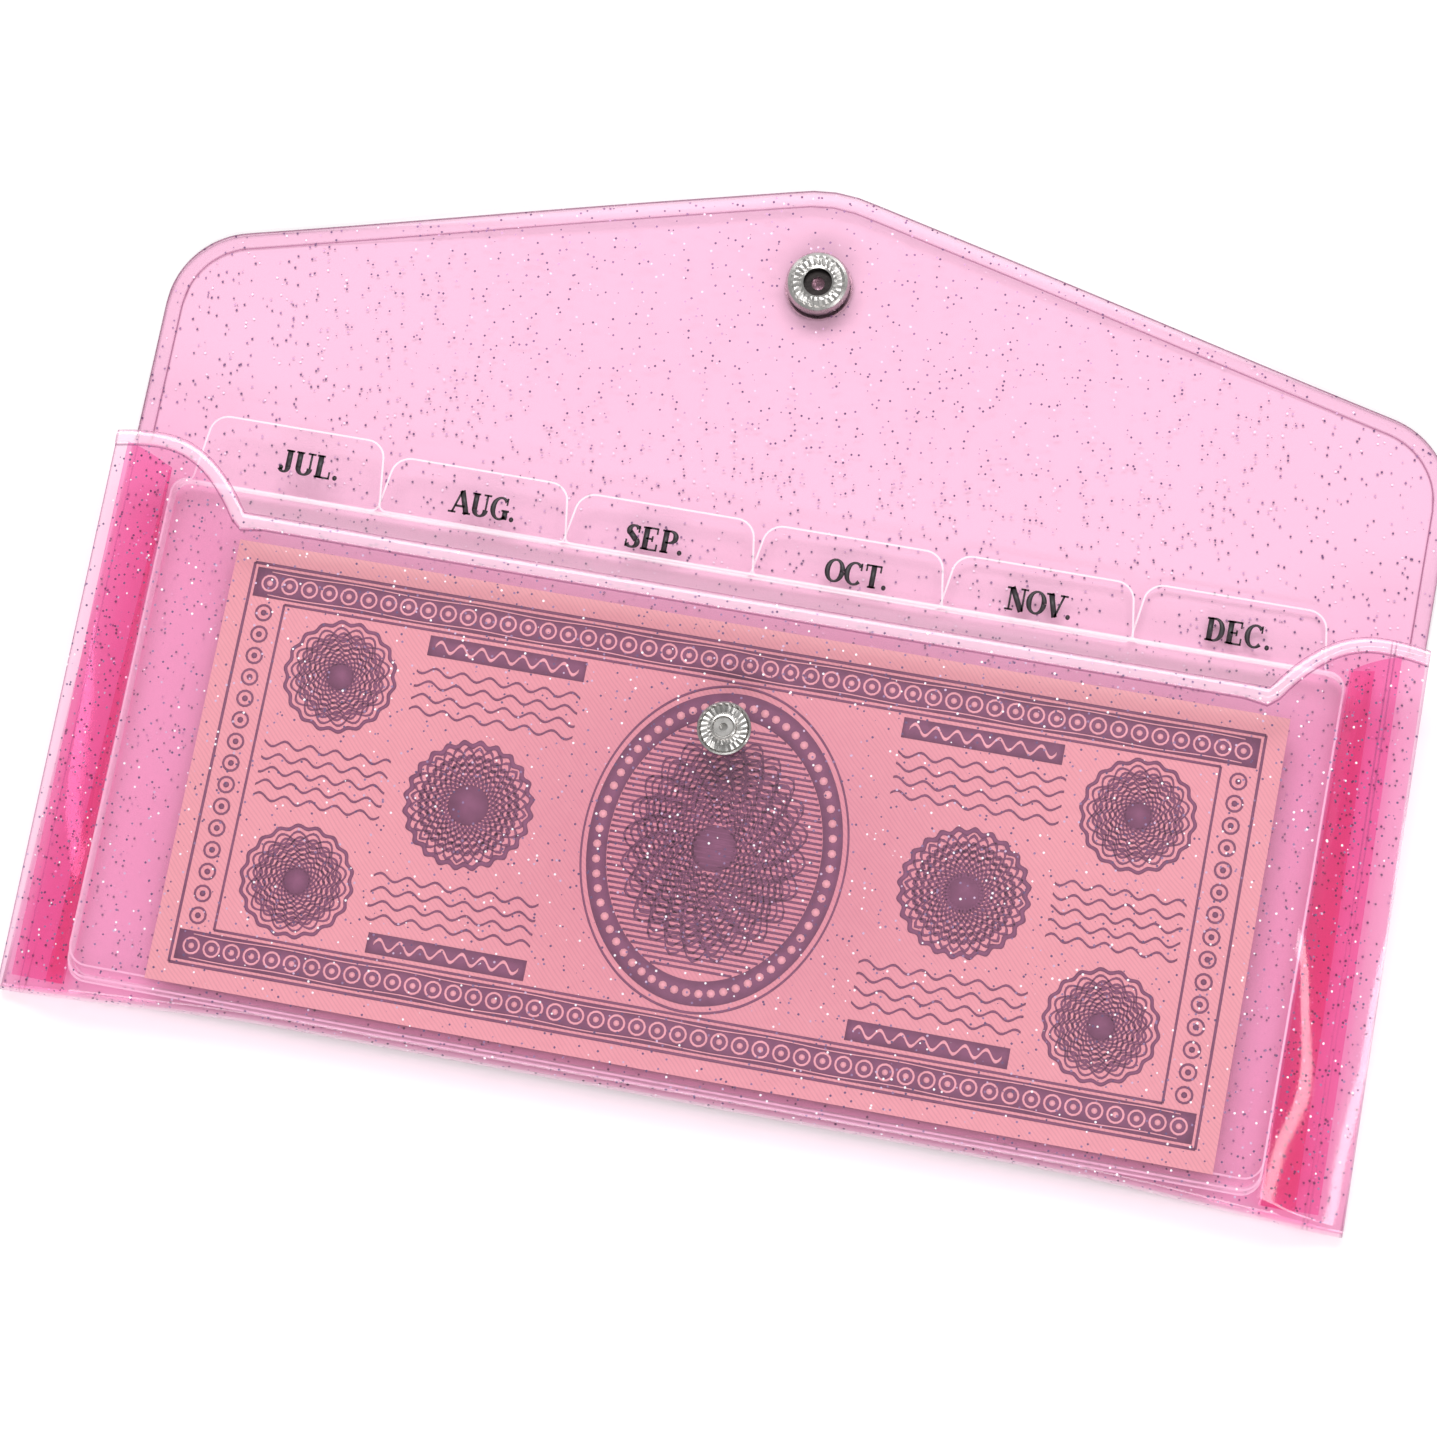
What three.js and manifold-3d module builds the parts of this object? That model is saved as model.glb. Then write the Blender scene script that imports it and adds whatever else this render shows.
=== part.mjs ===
// Cash envelope wallet: a clear vinyl pouch lying on its back with its flap opened flat,
// six month dividers and a paper note inside, and a ring-spring snap.
// Millimetres. +X along the wallet, +Y from the pouch's bottom towards the flap, +Z up.
import * as THREE from "three";
import { mergeVertices } from "three/addons/utils/BufferGeometryUtils.js";
import Module from "manifold-3d";

const wasm = await Module();
wasm.setup();

// Pouch outline, measured from the line through its two pointed bottom corners
const BOTTOM_WIDTH = 197;
const MOUTH_WIDTH = 194;
const EAR_HEIGHT = 84.2;
const EAR_DROP = 0.6;
const MOUTH_HEIGHT = 74.4;
const MOUTH_STRAIGHT = 150.8;
const EAR_CURVE_RUN = 15.6;
const EAR_CURVE_POWER = 2.3;
const BOTTOM_SAG = 1.7;
const BOTTOM_SAG_RUN = 42;

// Film and welded rim
const FILM = 0.5;
const RIM_WIDTH = 2.3;
const RIM_RISE = 0.25;
const RIM_BEVEL = 0.25;

// Depth of the pouch, outside to outside
const MOUTH_DEPTH = 10.5;
const BOTTOM_DEPTH = 6.4;
const CORNER_DEPTH = 2.6;
const EAR_DEPTH = 9.8;
const FULL_DEPTH_FROM = 48;
const SIDE_SLOPE_RUN = 12;
const BOTTOM_TURN = 2.6;
const BOTTOM_SQUARENESS = 3.2;

// Flap, from its fold line
const FOLD_OVER_EARS = 0.3;
const FLAP_LENGTH = 54.9;
const FLAP_WIDTH = 193.4;
const FLAP_SLOPE = THREE.MathUtils.degToRad(13.6);
const SHOULDER_RADIUS = 13;
const PEAK_RADIUS = 20;
const FLAP_LIFT_FLAT = 24;
const FLAP_LIFT_END = 84;

// Side gussets
const GUSSET_FILM = 0.3;
const GUSSET_WELD = 2;
const GUSSET_EDGE_INSET = 0.4;
const GUSSET_TOP_DIP = 2.8;
const GUSSET_FOOT = 2.4;
const CREASE_THICKNESS = 0.45;

// Month dividers
const MONTHS = ["jul", "aug", "sep", "oct", "nov", "dec"];
const MONTH_LIFTS = [1.9, 0.3, -0.3, -0.2, 0.2, 0.8];
const DIVIDER_WIDTH = 175;
const DIVIDER_HEIGHT = 76.5;
const DIVIDER_THICKNESS = 0.3;
const DIVIDER_CORNER = 3;
const DIVIDER_FOOT = 3.4;
const DIVIDER_X = -1.4;
const TAB_BASE = 28.8;
const TAB_PITCH = 28.1;
const TAB_HEIGHT = 8;
const TAB_FLARE = 1.3;
const TAB_CORNER = 2.5;

// Paper note
const NOTE_WIDTH = 156;
const NOTE_HEIGHT = 66.3;
const NOTE_THICKNESS = 0.2;
const NOTE_X = 1.2;
const NOTE_FOOT = 5.2;

// Snap
const SOCKET_FROM_PEAK = 14.6;
const SOCKET_RADIUS = 4.75;
const SOCKET_HEIGHT = 1.75;
const SOCKET_BASE = 0.4;
const SOCKET_MOUTH = 2.15;
const CAP_RADIUS = 5.1;
const CAP_HEIGHT = 1.1;
const CAP_POST = 1.5;
const CAP_POST_BORE = 1;
const CAP_COLLAR = 2.1;
const STUD_HEIGHT_UP = 54.8;
const STUD_RADIUS = 3.9;
const STUD_BOSS = 1.95;
const STUD_HEIGHT = 1.9;
const RIVET_RADIUS = 3.2;
const RIVET_HEAD = 0.35;
const RIVET_POST = 1;
const SPRING_RADIUS = 2.65;
const SPRING_WIRE = 0.2;
const SPRING_GAP = THREE.MathUtils.degToRad(50);
const HOLE_CLEARANCE = 0.4;
const FLUTES = 24;
const FLUTE_DEPTH = 0.07;

// Gap kept between pieces that touch on the real wallet
const GAP = 0.3;
const SEAT_GAP = 0.2;

// Places worked out from the sizes above
const HALF_BOTTOM = BOTTOM_WIDTH / 2;
const HALF_MOUTH = MOUTH_WIDTH / 2;
const HALF_FLAP = FLAP_WIDTH / 2;
const HALF_STRAIGHT = MOUTH_STRAIGHT / 2;
const EAR_TOP_X = HALF_STRAIGHT + EAR_CURVE_RUN;
const FOLD_Y = EAR_HEIGHT + FOLD_OVER_EARS;
const PEAK_Y = FOLD_Y + FLAP_LENGTH;
const SOCKET_Y = PEAK_Y - SOCKET_FROM_PEAK;
const SNAP_LIFT = CAP_HEIGHT + SEAT_GAP;
const OVERALL_LENGTH = PEAK_Y;
const STACK_FLOOR = FILM + GAP;
const DIVIDER_STEP = DIVIDER_THICKNESS + GAP;
const NOTE_FLOOR = STACK_FLOOR + MONTHS.length * DIVIDER_STEP;

const { clamp, degToRad, lerp, smoothstep } = THREE.MathUtils;

// Materials
function material(color, roughness, metalness, opacity) {
  return new THREE.MeshStandardMaterial({
    color,
    roughness,
    metalness,
    opacity,
    transparent: opacity < 1,
  });
}

const VINYL = material(0xff9ccb, 0.15, 0, 0.6);
const GUSSET_VINYL = material(0xf5589f, 0.15, 0, 0.6);
const FROSTED = material(0xf6dbe8, 0.45, 0, 0.7);
const PAPER = material(0xf0b8a4, 0.85, 0, 1);
const NICKEL = material(0xd9d5d0, 0.22, 1, 1);
const SPRING_STEEL = material(0xb8b4ae, 0.3, 1, 1);

// Joins and cuts
function toSolid(geometry) {
  const bare = geometry.index ? geometry.toNonIndexed() : geometry.clone();
  bare.deleteAttribute("normal");
  bare.deleteAttribute("uv");
  const merged = mergeVertices(bare, 1e-4);
  return new wasm.Manifold(
    new wasm.Mesh({
      numProp: 3,
      vertProperties: new Float32Array(merged.attributes.position.array),
      triVerts: new Uint32Array(merged.index.array),
    }),
  );
}

function toGeometry(solid) {
  const mesh = solid.getMesh();
  const geometry = new THREE.BufferGeometry();
  geometry.setAttribute("position", new THREE.BufferAttribute(mesh.vertProperties, 3));
  geometry.setIndex(new THREE.BufferAttribute(mesh.triVerts, 1));
  return geometry;
}

// A closed mesh from a list of points and of triangles.
function closedMesh(points, triangles) {
  const geometry = new THREE.BufferGeometry();
  geometry.setAttribute("position", new THREE.Float32BufferAttribute(points.flat(), 3));
  geometry.setIndex(triangles.flat());
  return geometry;
}

// A sheet with a face on each side, from two grids of points that run the same way.
function sheet(outer, inner) {
  const rows = outer.length;
  const columns = outer[0].length;
  const points = [...outer.flat(), ...inner.flat()];
  const at = (row, column, side) => (side * rows + row) * columns + column;
  const triangles = [];
  const quad = (a, b, c, d) => triangles.push([a, b, c], [a, c, d]);
  for (let r = 0; r < rows - 1; r++) {
    for (let c = 0; c < columns - 1; c++) {
      quad(at(r, c, 0), at(r + 1, c, 0), at(r + 1, c + 1, 0), at(r, c + 1, 0));
      quad(at(r, c, 1), at(r, c + 1, 1), at(r + 1, c + 1, 1), at(r + 1, c, 1));
    }
    quad(at(r, 0, 1), at(r + 1, 0, 1), at(r + 1, 0, 0), at(r, 0, 0));
    const last = columns - 1;
    quad(at(r, last, 0), at(r + 1, last, 0), at(r + 1, last, 1), at(r, last, 1));
  }
  for (let c = 0; c < columns - 1; c++) {
    const end = rows - 1;
    quad(at(0, c, 0), at(0, c + 1, 0), at(0, c + 1, 1), at(0, c, 1));
    quad(at(end, c, 1), at(end, c + 1, 1), at(end, c + 1, 0), at(end, c, 0));
  }
  return closedMesh(points, triangles);
}

// Triangles that fill a closed section and run the same way round as its points.
function fill(section, [first, second]) {
  const { ShapeUtils, Vector2 } = THREE;
  const contour = section.map((point) => new Vector2(point[first], point[second]));
  const turnsLeft = ShapeUtils.area(contour) > 0;
  return ShapeUtils.triangulateShape([...contour], []).map((corners) => {
    const same = ShapeUtils.area(corners.map((i) => contour[i])) > 0 === turnsLeft;
    return same ? corners : [...corners].reverse();
  });
}

// A solid through closed sections of equally many points. capAxes picks the two
// coordinates in which the end sections are filled.
function loft(sections, capAxes) {
  const size = sections[0].length;
  const triangles = [];
  for (let s = 0; s < sections.length - 1; s++) {
    for (let i = 0; i < size; i++) {
      const next = (i + 1) % size;
      const [a, b] = [s * size + i, s * size + next];
      triangles.push([a, b, b + size], [a, b + size, a + size]);
    }
  }
  const last = (sections.length - 1) * size;
  for (const [a, b, c] of fill(sections[0], capAxes)) triangles.push([c, b, a]);
  for (const [a, b, c] of fill(sections.at(-1), capAxes)) {
    triangles.push([last + a, last + b, last + c]);
  }
  return closedMesh(sections.flat(), triangles);
}

// Numbers from one value to another, both ends included.
function spread(from, to, steps) {
  return Array.from({ length: steps + 1 }, (_, i) => lerp(from, to, i / steps));
}

// Half of the wallet's width at a height.
function halfWidth(y) {
  if (y > EAR_HEIGHT) return HALF_FLAP;
  return lerp(HALF_BOTTOM, HALF_MOUTH, clamp(y / EAR_HEIGHT, 0, 1));
}

// Height of the pouch's front edge: straight in the middle, curving up to an ear at each side.
function mouthEdge(x) {
  const across = Math.abs(x);
  const curve = clamp((across - HALF_STRAIGHT) / EAR_CURVE_RUN, 0, 1);
  const drop = clamp((across - EAR_TOP_X) / (HALF_MOUTH - EAR_TOP_X), 0, 1);
  const rise = 1 - (1 - curve) ** EAR_CURVE_POWER;
  return lerp(MOUTH_HEIGHT, EAR_HEIGHT, rise) - EAR_DROP * drop ** 2;
}

// Height of a line that runs inset from the front edge.
function mouthLine(x, inset) {
  const step = 0.5;
  const slope = (mouthEdge(x + step) - mouthEdge(x - step)) / (2 * step);
  return mouthEdge(x) - inset * Math.hypot(1, slope);
}

// Height of the bottom fold, which the filled pouch pulls up between its corners.
function bottomEdge(x) {
  return BOTTOM_SAG * smoothstep(HALF_BOTTOM - Math.abs(x), 0, BOTTOM_SAG_RUN);
}

// How far a place has come into the sloping strip along a side, from 0 to 1.
function sideSlope(x, y) {
  const half = halfWidth(y);
  return smoothstep(Math.abs(x), half - SIDE_SLOPE_RUN, half);
}

// Height of the front's outer face over the floor.
function frontFace(x, y) {
  const middle = lerp(BOTTOM_DEPTH, MOUTH_DEPTH, smoothstep(y, 0, FULL_DEPTH_FROM));
  const side = lerp(CORNER_DEPTH, EAR_DEPTH, clamp(y / EAR_HEIGHT, 0, 1));
  return lerp(middle, side, sideSlope(x, y));
}

// Height of the flap's edge, or of a line that runs inset from it: rounded shoulders,
// two slopes and a rounded peak.
function flapLine(x, inset = 0) {
  const across = Math.abs(x);
  const peakRadius = PEAK_RADIUS - inset;
  if (across < peakRadius * Math.sin(FLAP_SLOPE)) {
    return PEAK_Y - PEAK_RADIUS + Math.sqrt(peakRadius ** 2 - across ** 2);
  }
  const sharpPeak = PEAK_Y + PEAK_RADIUS * (1 / Math.cos(FLAP_SLOPE) - 1);
  const shoulder = HALF_FLAP - SHOULDER_RADIUS;
  const radius = SHOULDER_RADIUS - inset;
  if (across < shoulder + radius * Math.sin(FLAP_SLOPE)) {
    return sharpPeak - inset / Math.cos(FLAP_SLOPE) - across * Math.tan(FLAP_SLOPE);
  }
  const shoulderY =
    sharpPeak - shoulder * Math.tan(FLAP_SLOPE) - SHOULDER_RADIUS / Math.cos(FLAP_SLOPE);
  const past = Math.max(across - HALF_FLAP + inset, 0);
  return shoulderY - past + Math.sqrt(Math.max(radius ** 2 - (across - shoulder) ** 2, 0));
}

// Height of the flap's under face: the snap's cap holds its middle off the floor.
function flapUnder(x, y) {
  const along = smoothstep(y, FOLD_Y, SOCKET_Y - CAP_RADIUS);
  const across = 1 - smoothstep(Math.abs(x), FLAP_LIFT_FLAT, FLAP_LIFT_END);
  return SNAP_LIFT * along * across;
}

function cylinderAt(radius, x, y, zFrom, zTo) {
  const hole = new THREE.CylinderGeometry(radius, radius, zTo - zFrom, 24);
  hole.rotateX(Math.PI / 2);
  hole.translate(x, y, (zFrom + zTo) / 2);
  return hole;
}

// Places of the sheet's columns, as shares of half the width, from the left to the right.
function sheetColumns() {
  const rimLine = HALF_MOUTH - RIM_WIDTH;
  const peakTurn = PEAK_RADIUS * Math.sin(FLAP_SLOPE);
  const half = [
    ...spread(0, peakTurn, 2),
    ...spread(peakTurn, HALF_STRAIGHT, 6).slice(1),
    ...spread(HALF_STRAIGHT, EAR_TOP_X, 6).slice(1),
    ...spread(EAR_TOP_X, rimLine, 2).slice(1),
    rimLine + RIM_BEVEL,
    HALF_MOUTH,
  ].map((x) => x / HALF_MOUTH);
  return [...half.slice(1).reverse().map((u) => -u), ...half];
}

// Front, bottom, back and flap: one folded sheet with a raised welded rim round the
// mouth and the flap, and a hole for each half of the snap
function bodySheet() {
  const columns = sheetColumns();
  const outer = [];
  const inner = [];
  const addRow = (place) => {
    const pairs = columns.map(place);
    outer.push(pairs.map((pair) => pair[0]));
    inner.push(pairs.map((pair) => pair[1]));
  };
  const turnOf = (x) => lerp(BOTTOM_TURN, CORNER_DEPTH / 2, sideSlope(x, 0));
  const turnCentre = (x) => bottomEdge(x) + turnOf(x);

  const frontPair = (u, y, rise) => {
    const x = u * halfWidth(y);
    const z = frontFace(x, y);
    return [
      [x, y, z + rise],
      [x, y, z - FILM],
    ];
  };
  addRow((u) => frontPair(u, mouthEdge(u * HALF_MOUTH), RIM_RISE));
  addRow((u) => frontPair(u, mouthLine(u * HALF_MOUTH, RIM_WIDTH - RIM_BEVEL), RIM_RISE));
  for (const t of spread(0, 1, 13)) {
    addRow((u) => {
      const top = mouthLine(u * HALF_MOUTH, RIM_WIDTH);
      return frontPair(u, lerp(top, turnCentre(u * HALF_BOTTOM), t), 0);
    });
  }

  for (const angle of spread(90, -90, 10).slice(1)) {
    addRow((u) => {
      const base = u * HALF_BOTTOM;
      const power = 2 / lerp(BOTTOM_SQUARENESS, 2, sideSlope(base, 0));
      const across = Math.cos(degToRad(angle)) ** power;
      const sine = Math.sin(degToRad(angle));
      const up = Math.sign(sine) * Math.abs(sine) ** power;
      const x = u * halfWidth(turnCentre(base));
      const depth = frontFace(x, turnCentre(base));
      return [0, FILM].map((wall) => [
        x,
        turnCentre(base) - (turnOf(base) - wall) * across,
        depth / 2 + (depth / 2 - wall) * up,
      ]);
    });
  }

  for (const t of spread(0, 1, 4).slice(1)) {
    addRow((u) => {
      const y = lerp(turnCentre(u * HALF_BOTTOM), FOLD_Y, t);
      const x = u * halfWidth(Math.min(y, EAR_HEIGHT));
      return [
        [x, y, 0],
        [x, y, FILM],
      ];
    });
  }

  const flapPair = (u, lineOf, rise) => {
    const x = u * HALF_FLAP;
    const y = lineOf(x);
    const z = flapUnder(x, y);
    const onRim = Math.abs(x) > HALF_FLAP - RIM_WIDTH + RIM_BEVEL / 2;
    return [
      [x, y, z],
      [x, y, z + FILM + (onRim ? RIM_RISE : rise)],
    ];
  };
  for (const t of spread(0, 1, 11).slice(1)) {
    addRow((u) => flapPair(u, (x) => lerp(FOLD_Y, flapLine(x, RIM_WIDTH), t), 0));
  }
  addRow((u) => flapPair(u, (x) => flapLine(x, RIM_WIDTH - RIM_BEVEL), RIM_RISE));
  addRow((u) => flapPair(u, (x) => flapLine(x), RIM_RISE));

  const studHole = RIVET_POST + HOLE_CLEARANCE;
  const socketHole = CAP_POST + HOLE_CLEARANCE;
  const front = frontFace(0, STUD_HEIGHT_UP);
  return toGeometry(
    toSolid(sheet(outer, inner))
      .subtract(toSolid(cylinderAt(studHole, 0, STUD_HEIGHT_UP, front - 1, front + 1)))
      .subtract(toSolid(cylinderAt(socketHole, 0, SOCKET_Y, SNAP_LIFT - 1, SNAP_LIFT + 1))),
  );
}

// One V-folded side gusset. side is -1 or 1, crease the x of its inward fold.
function gusset(side, crease) {
  const gap = GAP + GUSSET_FILM / 2;
  const section = (t) => {
    const place = (x, z) => {
      const edge = HALF_MOUTH - GUSSET_EDGE_INSET;
      const inward = clamp((edge - x) / (edge - crease), 0, 1);
      const top = mouthEdge(HALF_MOUTH) - GAP - GUSSET_TOP_DIP * inward;
      return [side * x, lerp(GUSSET_FOOT, top, t), z];
    };
    const y = lerp(GUSSET_FOOT, EAR_HEIGHT, t);
    const edge = halfWidth(y) - GUSSET_EDGE_INSET;
    const front = frontFace(halfWidth(y), y) - FILM - gap;
    const back = FILM + gap;
    const middle = (front + back) / 2;
    const half = GUSSET_FILM / 2;
    return [
      place(edge, front + half),
      place(edge - GUSSET_WELD, front + half),
      place(crease, middle),
      place(edge - GUSSET_WELD, back - half),
      place(edge, back - half),
      place(edge, back + half),
      place(edge - GUSSET_WELD, back + half),
      place(crease + CREASE_THICKNESS, middle),
      place(edge - GUSSET_WELD, front - half),
      place(edge, front - half),
    ];
  };
  const sections = spread(0, 1, 12).map(section);
  if (side > 0) sections.forEach((loop) => loop.reverse());
  return loft(sections, [0, 2]);
}

// One divider: a frosted sheet with round corners and a tab on its top edge
function divider(index) {
  const half = DIVIDER_WIDTH / 2;
  const margin = (DIVIDER_WIDTH - (MONTHS.length - 1) * TAB_PITCH - TAB_BASE) / 2;
  const tabLeft = -half + margin + index * TAB_PITCH;
  const tabRight = tabLeft + TAB_BASE;
  const [top, tip] = [DIVIDER_HEIGHT, DIVIDER_HEIGHT + TAB_HEIGHT];
  const [round, soft] = [DIVIDER_CORNER, TAB_CORNER];
  const shape = new THREE.Shape();
  shape.moveTo(-half + round, 0);
  shape.lineTo(half - round, 0);
  shape.quadraticCurveTo(half, 0, half, round);
  shape.lineTo(half, top - soft);
  shape.quadraticCurveTo(half, top, half - soft, top);
  shape.lineTo(tabRight, top);
  shape.lineTo(tabRight - TAB_FLARE, tip - soft);
  shape.quadraticCurveTo(tabRight - TAB_FLARE, tip, tabRight - TAB_FLARE - soft, tip);
  shape.lineTo(tabLeft + TAB_FLARE + soft, tip);
  shape.quadraticCurveTo(tabLeft + TAB_FLARE, tip, tabLeft + TAB_FLARE, tip - soft);
  shape.lineTo(tabLeft, top);
  shape.lineTo(-half + soft, top);
  shape.quadraticCurveTo(-half, top, -half, top - soft);
  shape.lineTo(-half, round);
  shape.quadraticCurveTo(-half, 0, -half + round, 0);
  return new THREE.ExtrudeGeometry(shape, {
    depth: DIVIDER_THICKNESS,
    bevelEnabled: false,
    curveSegments: 5,
  });
}

// A turned piece with its axis along Z. Points between the flute radii and above the
// flute floor rise and fall round the ring.
function turned(profile, fluteFrom = Infinity, fluteTo = 0, fluteFloor = 0) {
  const points = profile.map(([radius, z]) => new THREE.Vector2(radius, z));
  const lathe = new THREE.LatheGeometry(points, 2 * FLUTES);
  lathe.rotateX(Math.PI / 2);
  const place = lathe.attributes.position;
  for (let i = 0; i < place.count; i++) {
    const radius = Math.hypot(place.getX(i), place.getY(i));
    if (radius < fluteFrom || radius > fluteTo || place.getZ(i) < fluteFloor) continue;
    const angle = Math.atan2(place.getY(i), place.getX(i));
    place.setZ(i, place.getZ(i) + FLUTE_DEPTH * Math.cos(FLUTES * angle));
  }
  return lathe;
}

// Female half of the snap on the flap's upper face: a cup with a fluted rolled rim
function snapSocket() {
  const bore = CAP_POST + HOLE_CLEARANCE;
  const roof = SOCKET_HEIGHT - 0.5;
  const cavity = SOCKET_RADIUS - 1.45;
  return turned(
    [
      [bore, 0],
      [SOCKET_RADIUS, 0],
      [SOCKET_RADIUS, SOCKET_HEIGHT - 0.6],
      [SOCKET_RADIUS - 0.3, SOCKET_HEIGHT - 0.15],
      [SOCKET_RADIUS - 0.7, SOCKET_HEIGHT],
      [SOCKET_RADIUS - 1.1, SOCKET_HEIGHT - 0.25],
      [SOCKET_MOUTH + 0.75, SOCKET_HEIGHT - 0.2],
      [SOCKET_MOUTH + 0.3, SOCKET_HEIGHT],
      [SOCKET_MOUTH, SOCKET_HEIGHT - 0.2],
      [SOCKET_MOUTH, roof],
      [cavity, roof],
      [cavity, SOCKET_BASE],
      [bore, SOCKET_BASE],
      [bore, 0],
    ],
    SOCKET_MOUTH + 0.6,
    SOCKET_RADIUS - 0.9,
    SOCKET_HEIGHT - 0.3,
  );
}

// Wire ring that grips the stud, open at one place, in the socket's groove
function socketSpring() {
  const arc = new THREE.EllipseCurve(
    0,
    0,
    SPRING_RADIUS,
    SPRING_RADIUS,
    SPRING_GAP / 2,
    2 * Math.PI - SPRING_GAP / 2,
  );
  const path = new THREE.CatmullRomCurve3(
    arc.getPoints(24).map((p) => new THREE.Vector3(p.x, p.y, 0)),
  );
  const wire = new THREE.Shape();
  wire.absarc(0, 0, SPRING_WIRE, 0, 2 * Math.PI);
  return new THREE.ExtrudeGeometry(wire, {
    steps: 36,
    curveSegments: 4,
    bevelEnabled: false,
    extrudePath: path,
  });
}

// Cap under the flap, with the hollow post that passes through film and socket
function snapCap() {
  const baseTop = CAP_HEIGHT + SEAT_GAP + FILM + SEAT_GAP + SOCKET_BASE;
  const collarFoot = baseTop + 0.1;
  const collarTop = collarFoot + 0.15;
  return turned([
    [0, 0],
    [CAP_RADIUS * 0.55, 0.04],
    [CAP_RADIUS * 0.85, 0.22],
    [CAP_RADIUS, 0.6],
    [CAP_RADIUS - 0.1, CAP_HEIGHT],
    [CAP_POST, CAP_HEIGHT],
    [CAP_POST, collarFoot],
    [CAP_COLLAR, collarFoot],
    [CAP_COLLAR, collarTop],
    [CAP_POST_BORE, collarTop],
    [CAP_POST_BORE, CAP_HEIGHT * 0.6],
    [0, CAP_HEIGHT * 0.6],
  ]);
}

// Male half of the snap on the front: a fluted dish with a waisted hollow boss
function snapStud() {
  const bore = RIVET_POST + SEAT_GAP;
  const pocket = bore + 0.3;
  return turned(
    [
      [bore, 0],
      [STUD_RADIUS, 0],
      [STUD_RADIUS, 0.6],
      [STUD_RADIUS - 0.25, 0.8],
      [STUD_RADIUS - 0.55, 0.5],
      [STUD_BOSS + 0.45, 0.45],
      [STUD_BOSS - 0.2, 0.6],
      [STUD_BOSS - 0.25, 1],
      [STUD_BOSS, 1.5],
      [STUD_BOSS - 0.12, STUD_HEIGHT - 0.08],
      [pocket + 0.08, STUD_HEIGHT],
      [pocket, STUD_HEIGHT - 0.15],
      [pocket, 1.2],
      [bore, 1.2],
      [bore, 0],
    ],
    STUD_BOSS + 0.4,
    STUD_RADIUS - 0.5,
    0.4,
  );
}

// Rivet from inside the pouch that holds the stud
function studRivet() {
  const headFoot = -(SEAT_GAP + FILM + SEAT_GAP + RIVET_HEAD);
  const headTop = headFoot + RIVET_HEAD;
  return turned([
    [0, headFoot],
    [RIVET_RADIUS - 0.15, headFoot],
    [RIVET_RADIUS, headFoot + 0.12],
    [RIVET_RADIUS - 0.05, headTop],
    [RIVET_POST, headTop],
    [RIVET_POST, 1.3],
    [RIVET_POST + 0.38, 1.35],
    [RIVET_POST + 0.38, 1.5],
    [RIVET_POST * 0.6, 1.5],
    [RIVET_POST * 0.6, 0.2],
    [0, 0.2],
  ]);
}

function piece(name, geometry, look, x = 0, y = 0, z = 0) {
  const mesh = new THREE.Mesh(geometry, look);
  mesh.name = name;
  mesh.position.set(x, y, z);
  return mesh;
}

function buildWallet() {
  const wallet = new THREE.Group();
  const left = DIVIDER_X - DIVIDER_WIDTH / 2;
  const right = DIVIDER_X + DIVIDER_WIDTH / 2;
  wallet.add(piece("body_sheet", bodySheet(), VINYL));
  wallet.add(piece("gusset_left", gusset(-1, -left + GAP), GUSSET_VINYL));
  wallet.add(piece("gusset_right", gusset(1, right + GAP), GUSSET_VINYL));

  MONTHS.forEach((month, index) => {
    const z = STACK_FLOOR + (MONTHS.length - 1 - index) * DIVIDER_STEP;
    const y = DIVIDER_FOOT + MONTH_LIFTS[index];
    wallet.add(piece("divider_" + month, divider(index), FROSTED, DIVIDER_X, y, z));
  });

  const note = new THREE.BoxGeometry(NOTE_WIDTH, NOTE_HEIGHT, NOTE_THICKNESS);
  const noteY = NOTE_FOOT + NOTE_HEIGHT / 2;
  const noteZ = NOTE_FLOOR + NOTE_THICKNESS / 2;
  wallet.add(piece("paper_note", note, PAPER, NOTE_X, noteY, noteZ));

  const flapTop = flapUnder(0, SOCKET_Y) + FILM + SEAT_GAP;
  const springZ = flapTop + (SOCKET_BASE + SOCKET_HEIGHT - 0.5) / 2;
  wallet.add(piece("snap_socket", snapSocket(), NICKEL, 0, SOCKET_Y, flapTop));
  wallet.add(piece("socket_spring", socketSpring(), SPRING_STEEL, 0, SOCKET_Y, springZ));
  wallet.add(piece("snap_cap", snapCap(), NICKEL, 0, SOCKET_Y, 0));

  const studZ = frontFace(0, STUD_HEIGHT_UP) + SEAT_GAP;
  wallet.add(piece("snap_stud", snapStud(), NICKEL, 0, STUD_HEIGHT_UP, studZ));
  wallet.add(piece("stud_rivet", studRivet(), NICKEL, 0, STUD_HEIGHT_UP, studZ));

  wallet.position.y = -OVERALL_LENGTH / 2;
  const frame = new THREE.Group();
  frame.add(wallet);
  return frame;
}

export default buildWallet();
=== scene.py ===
"""Clear pink glitter wallet with a flap, six month dividers, a paper note and a press snap."""

import math

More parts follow.
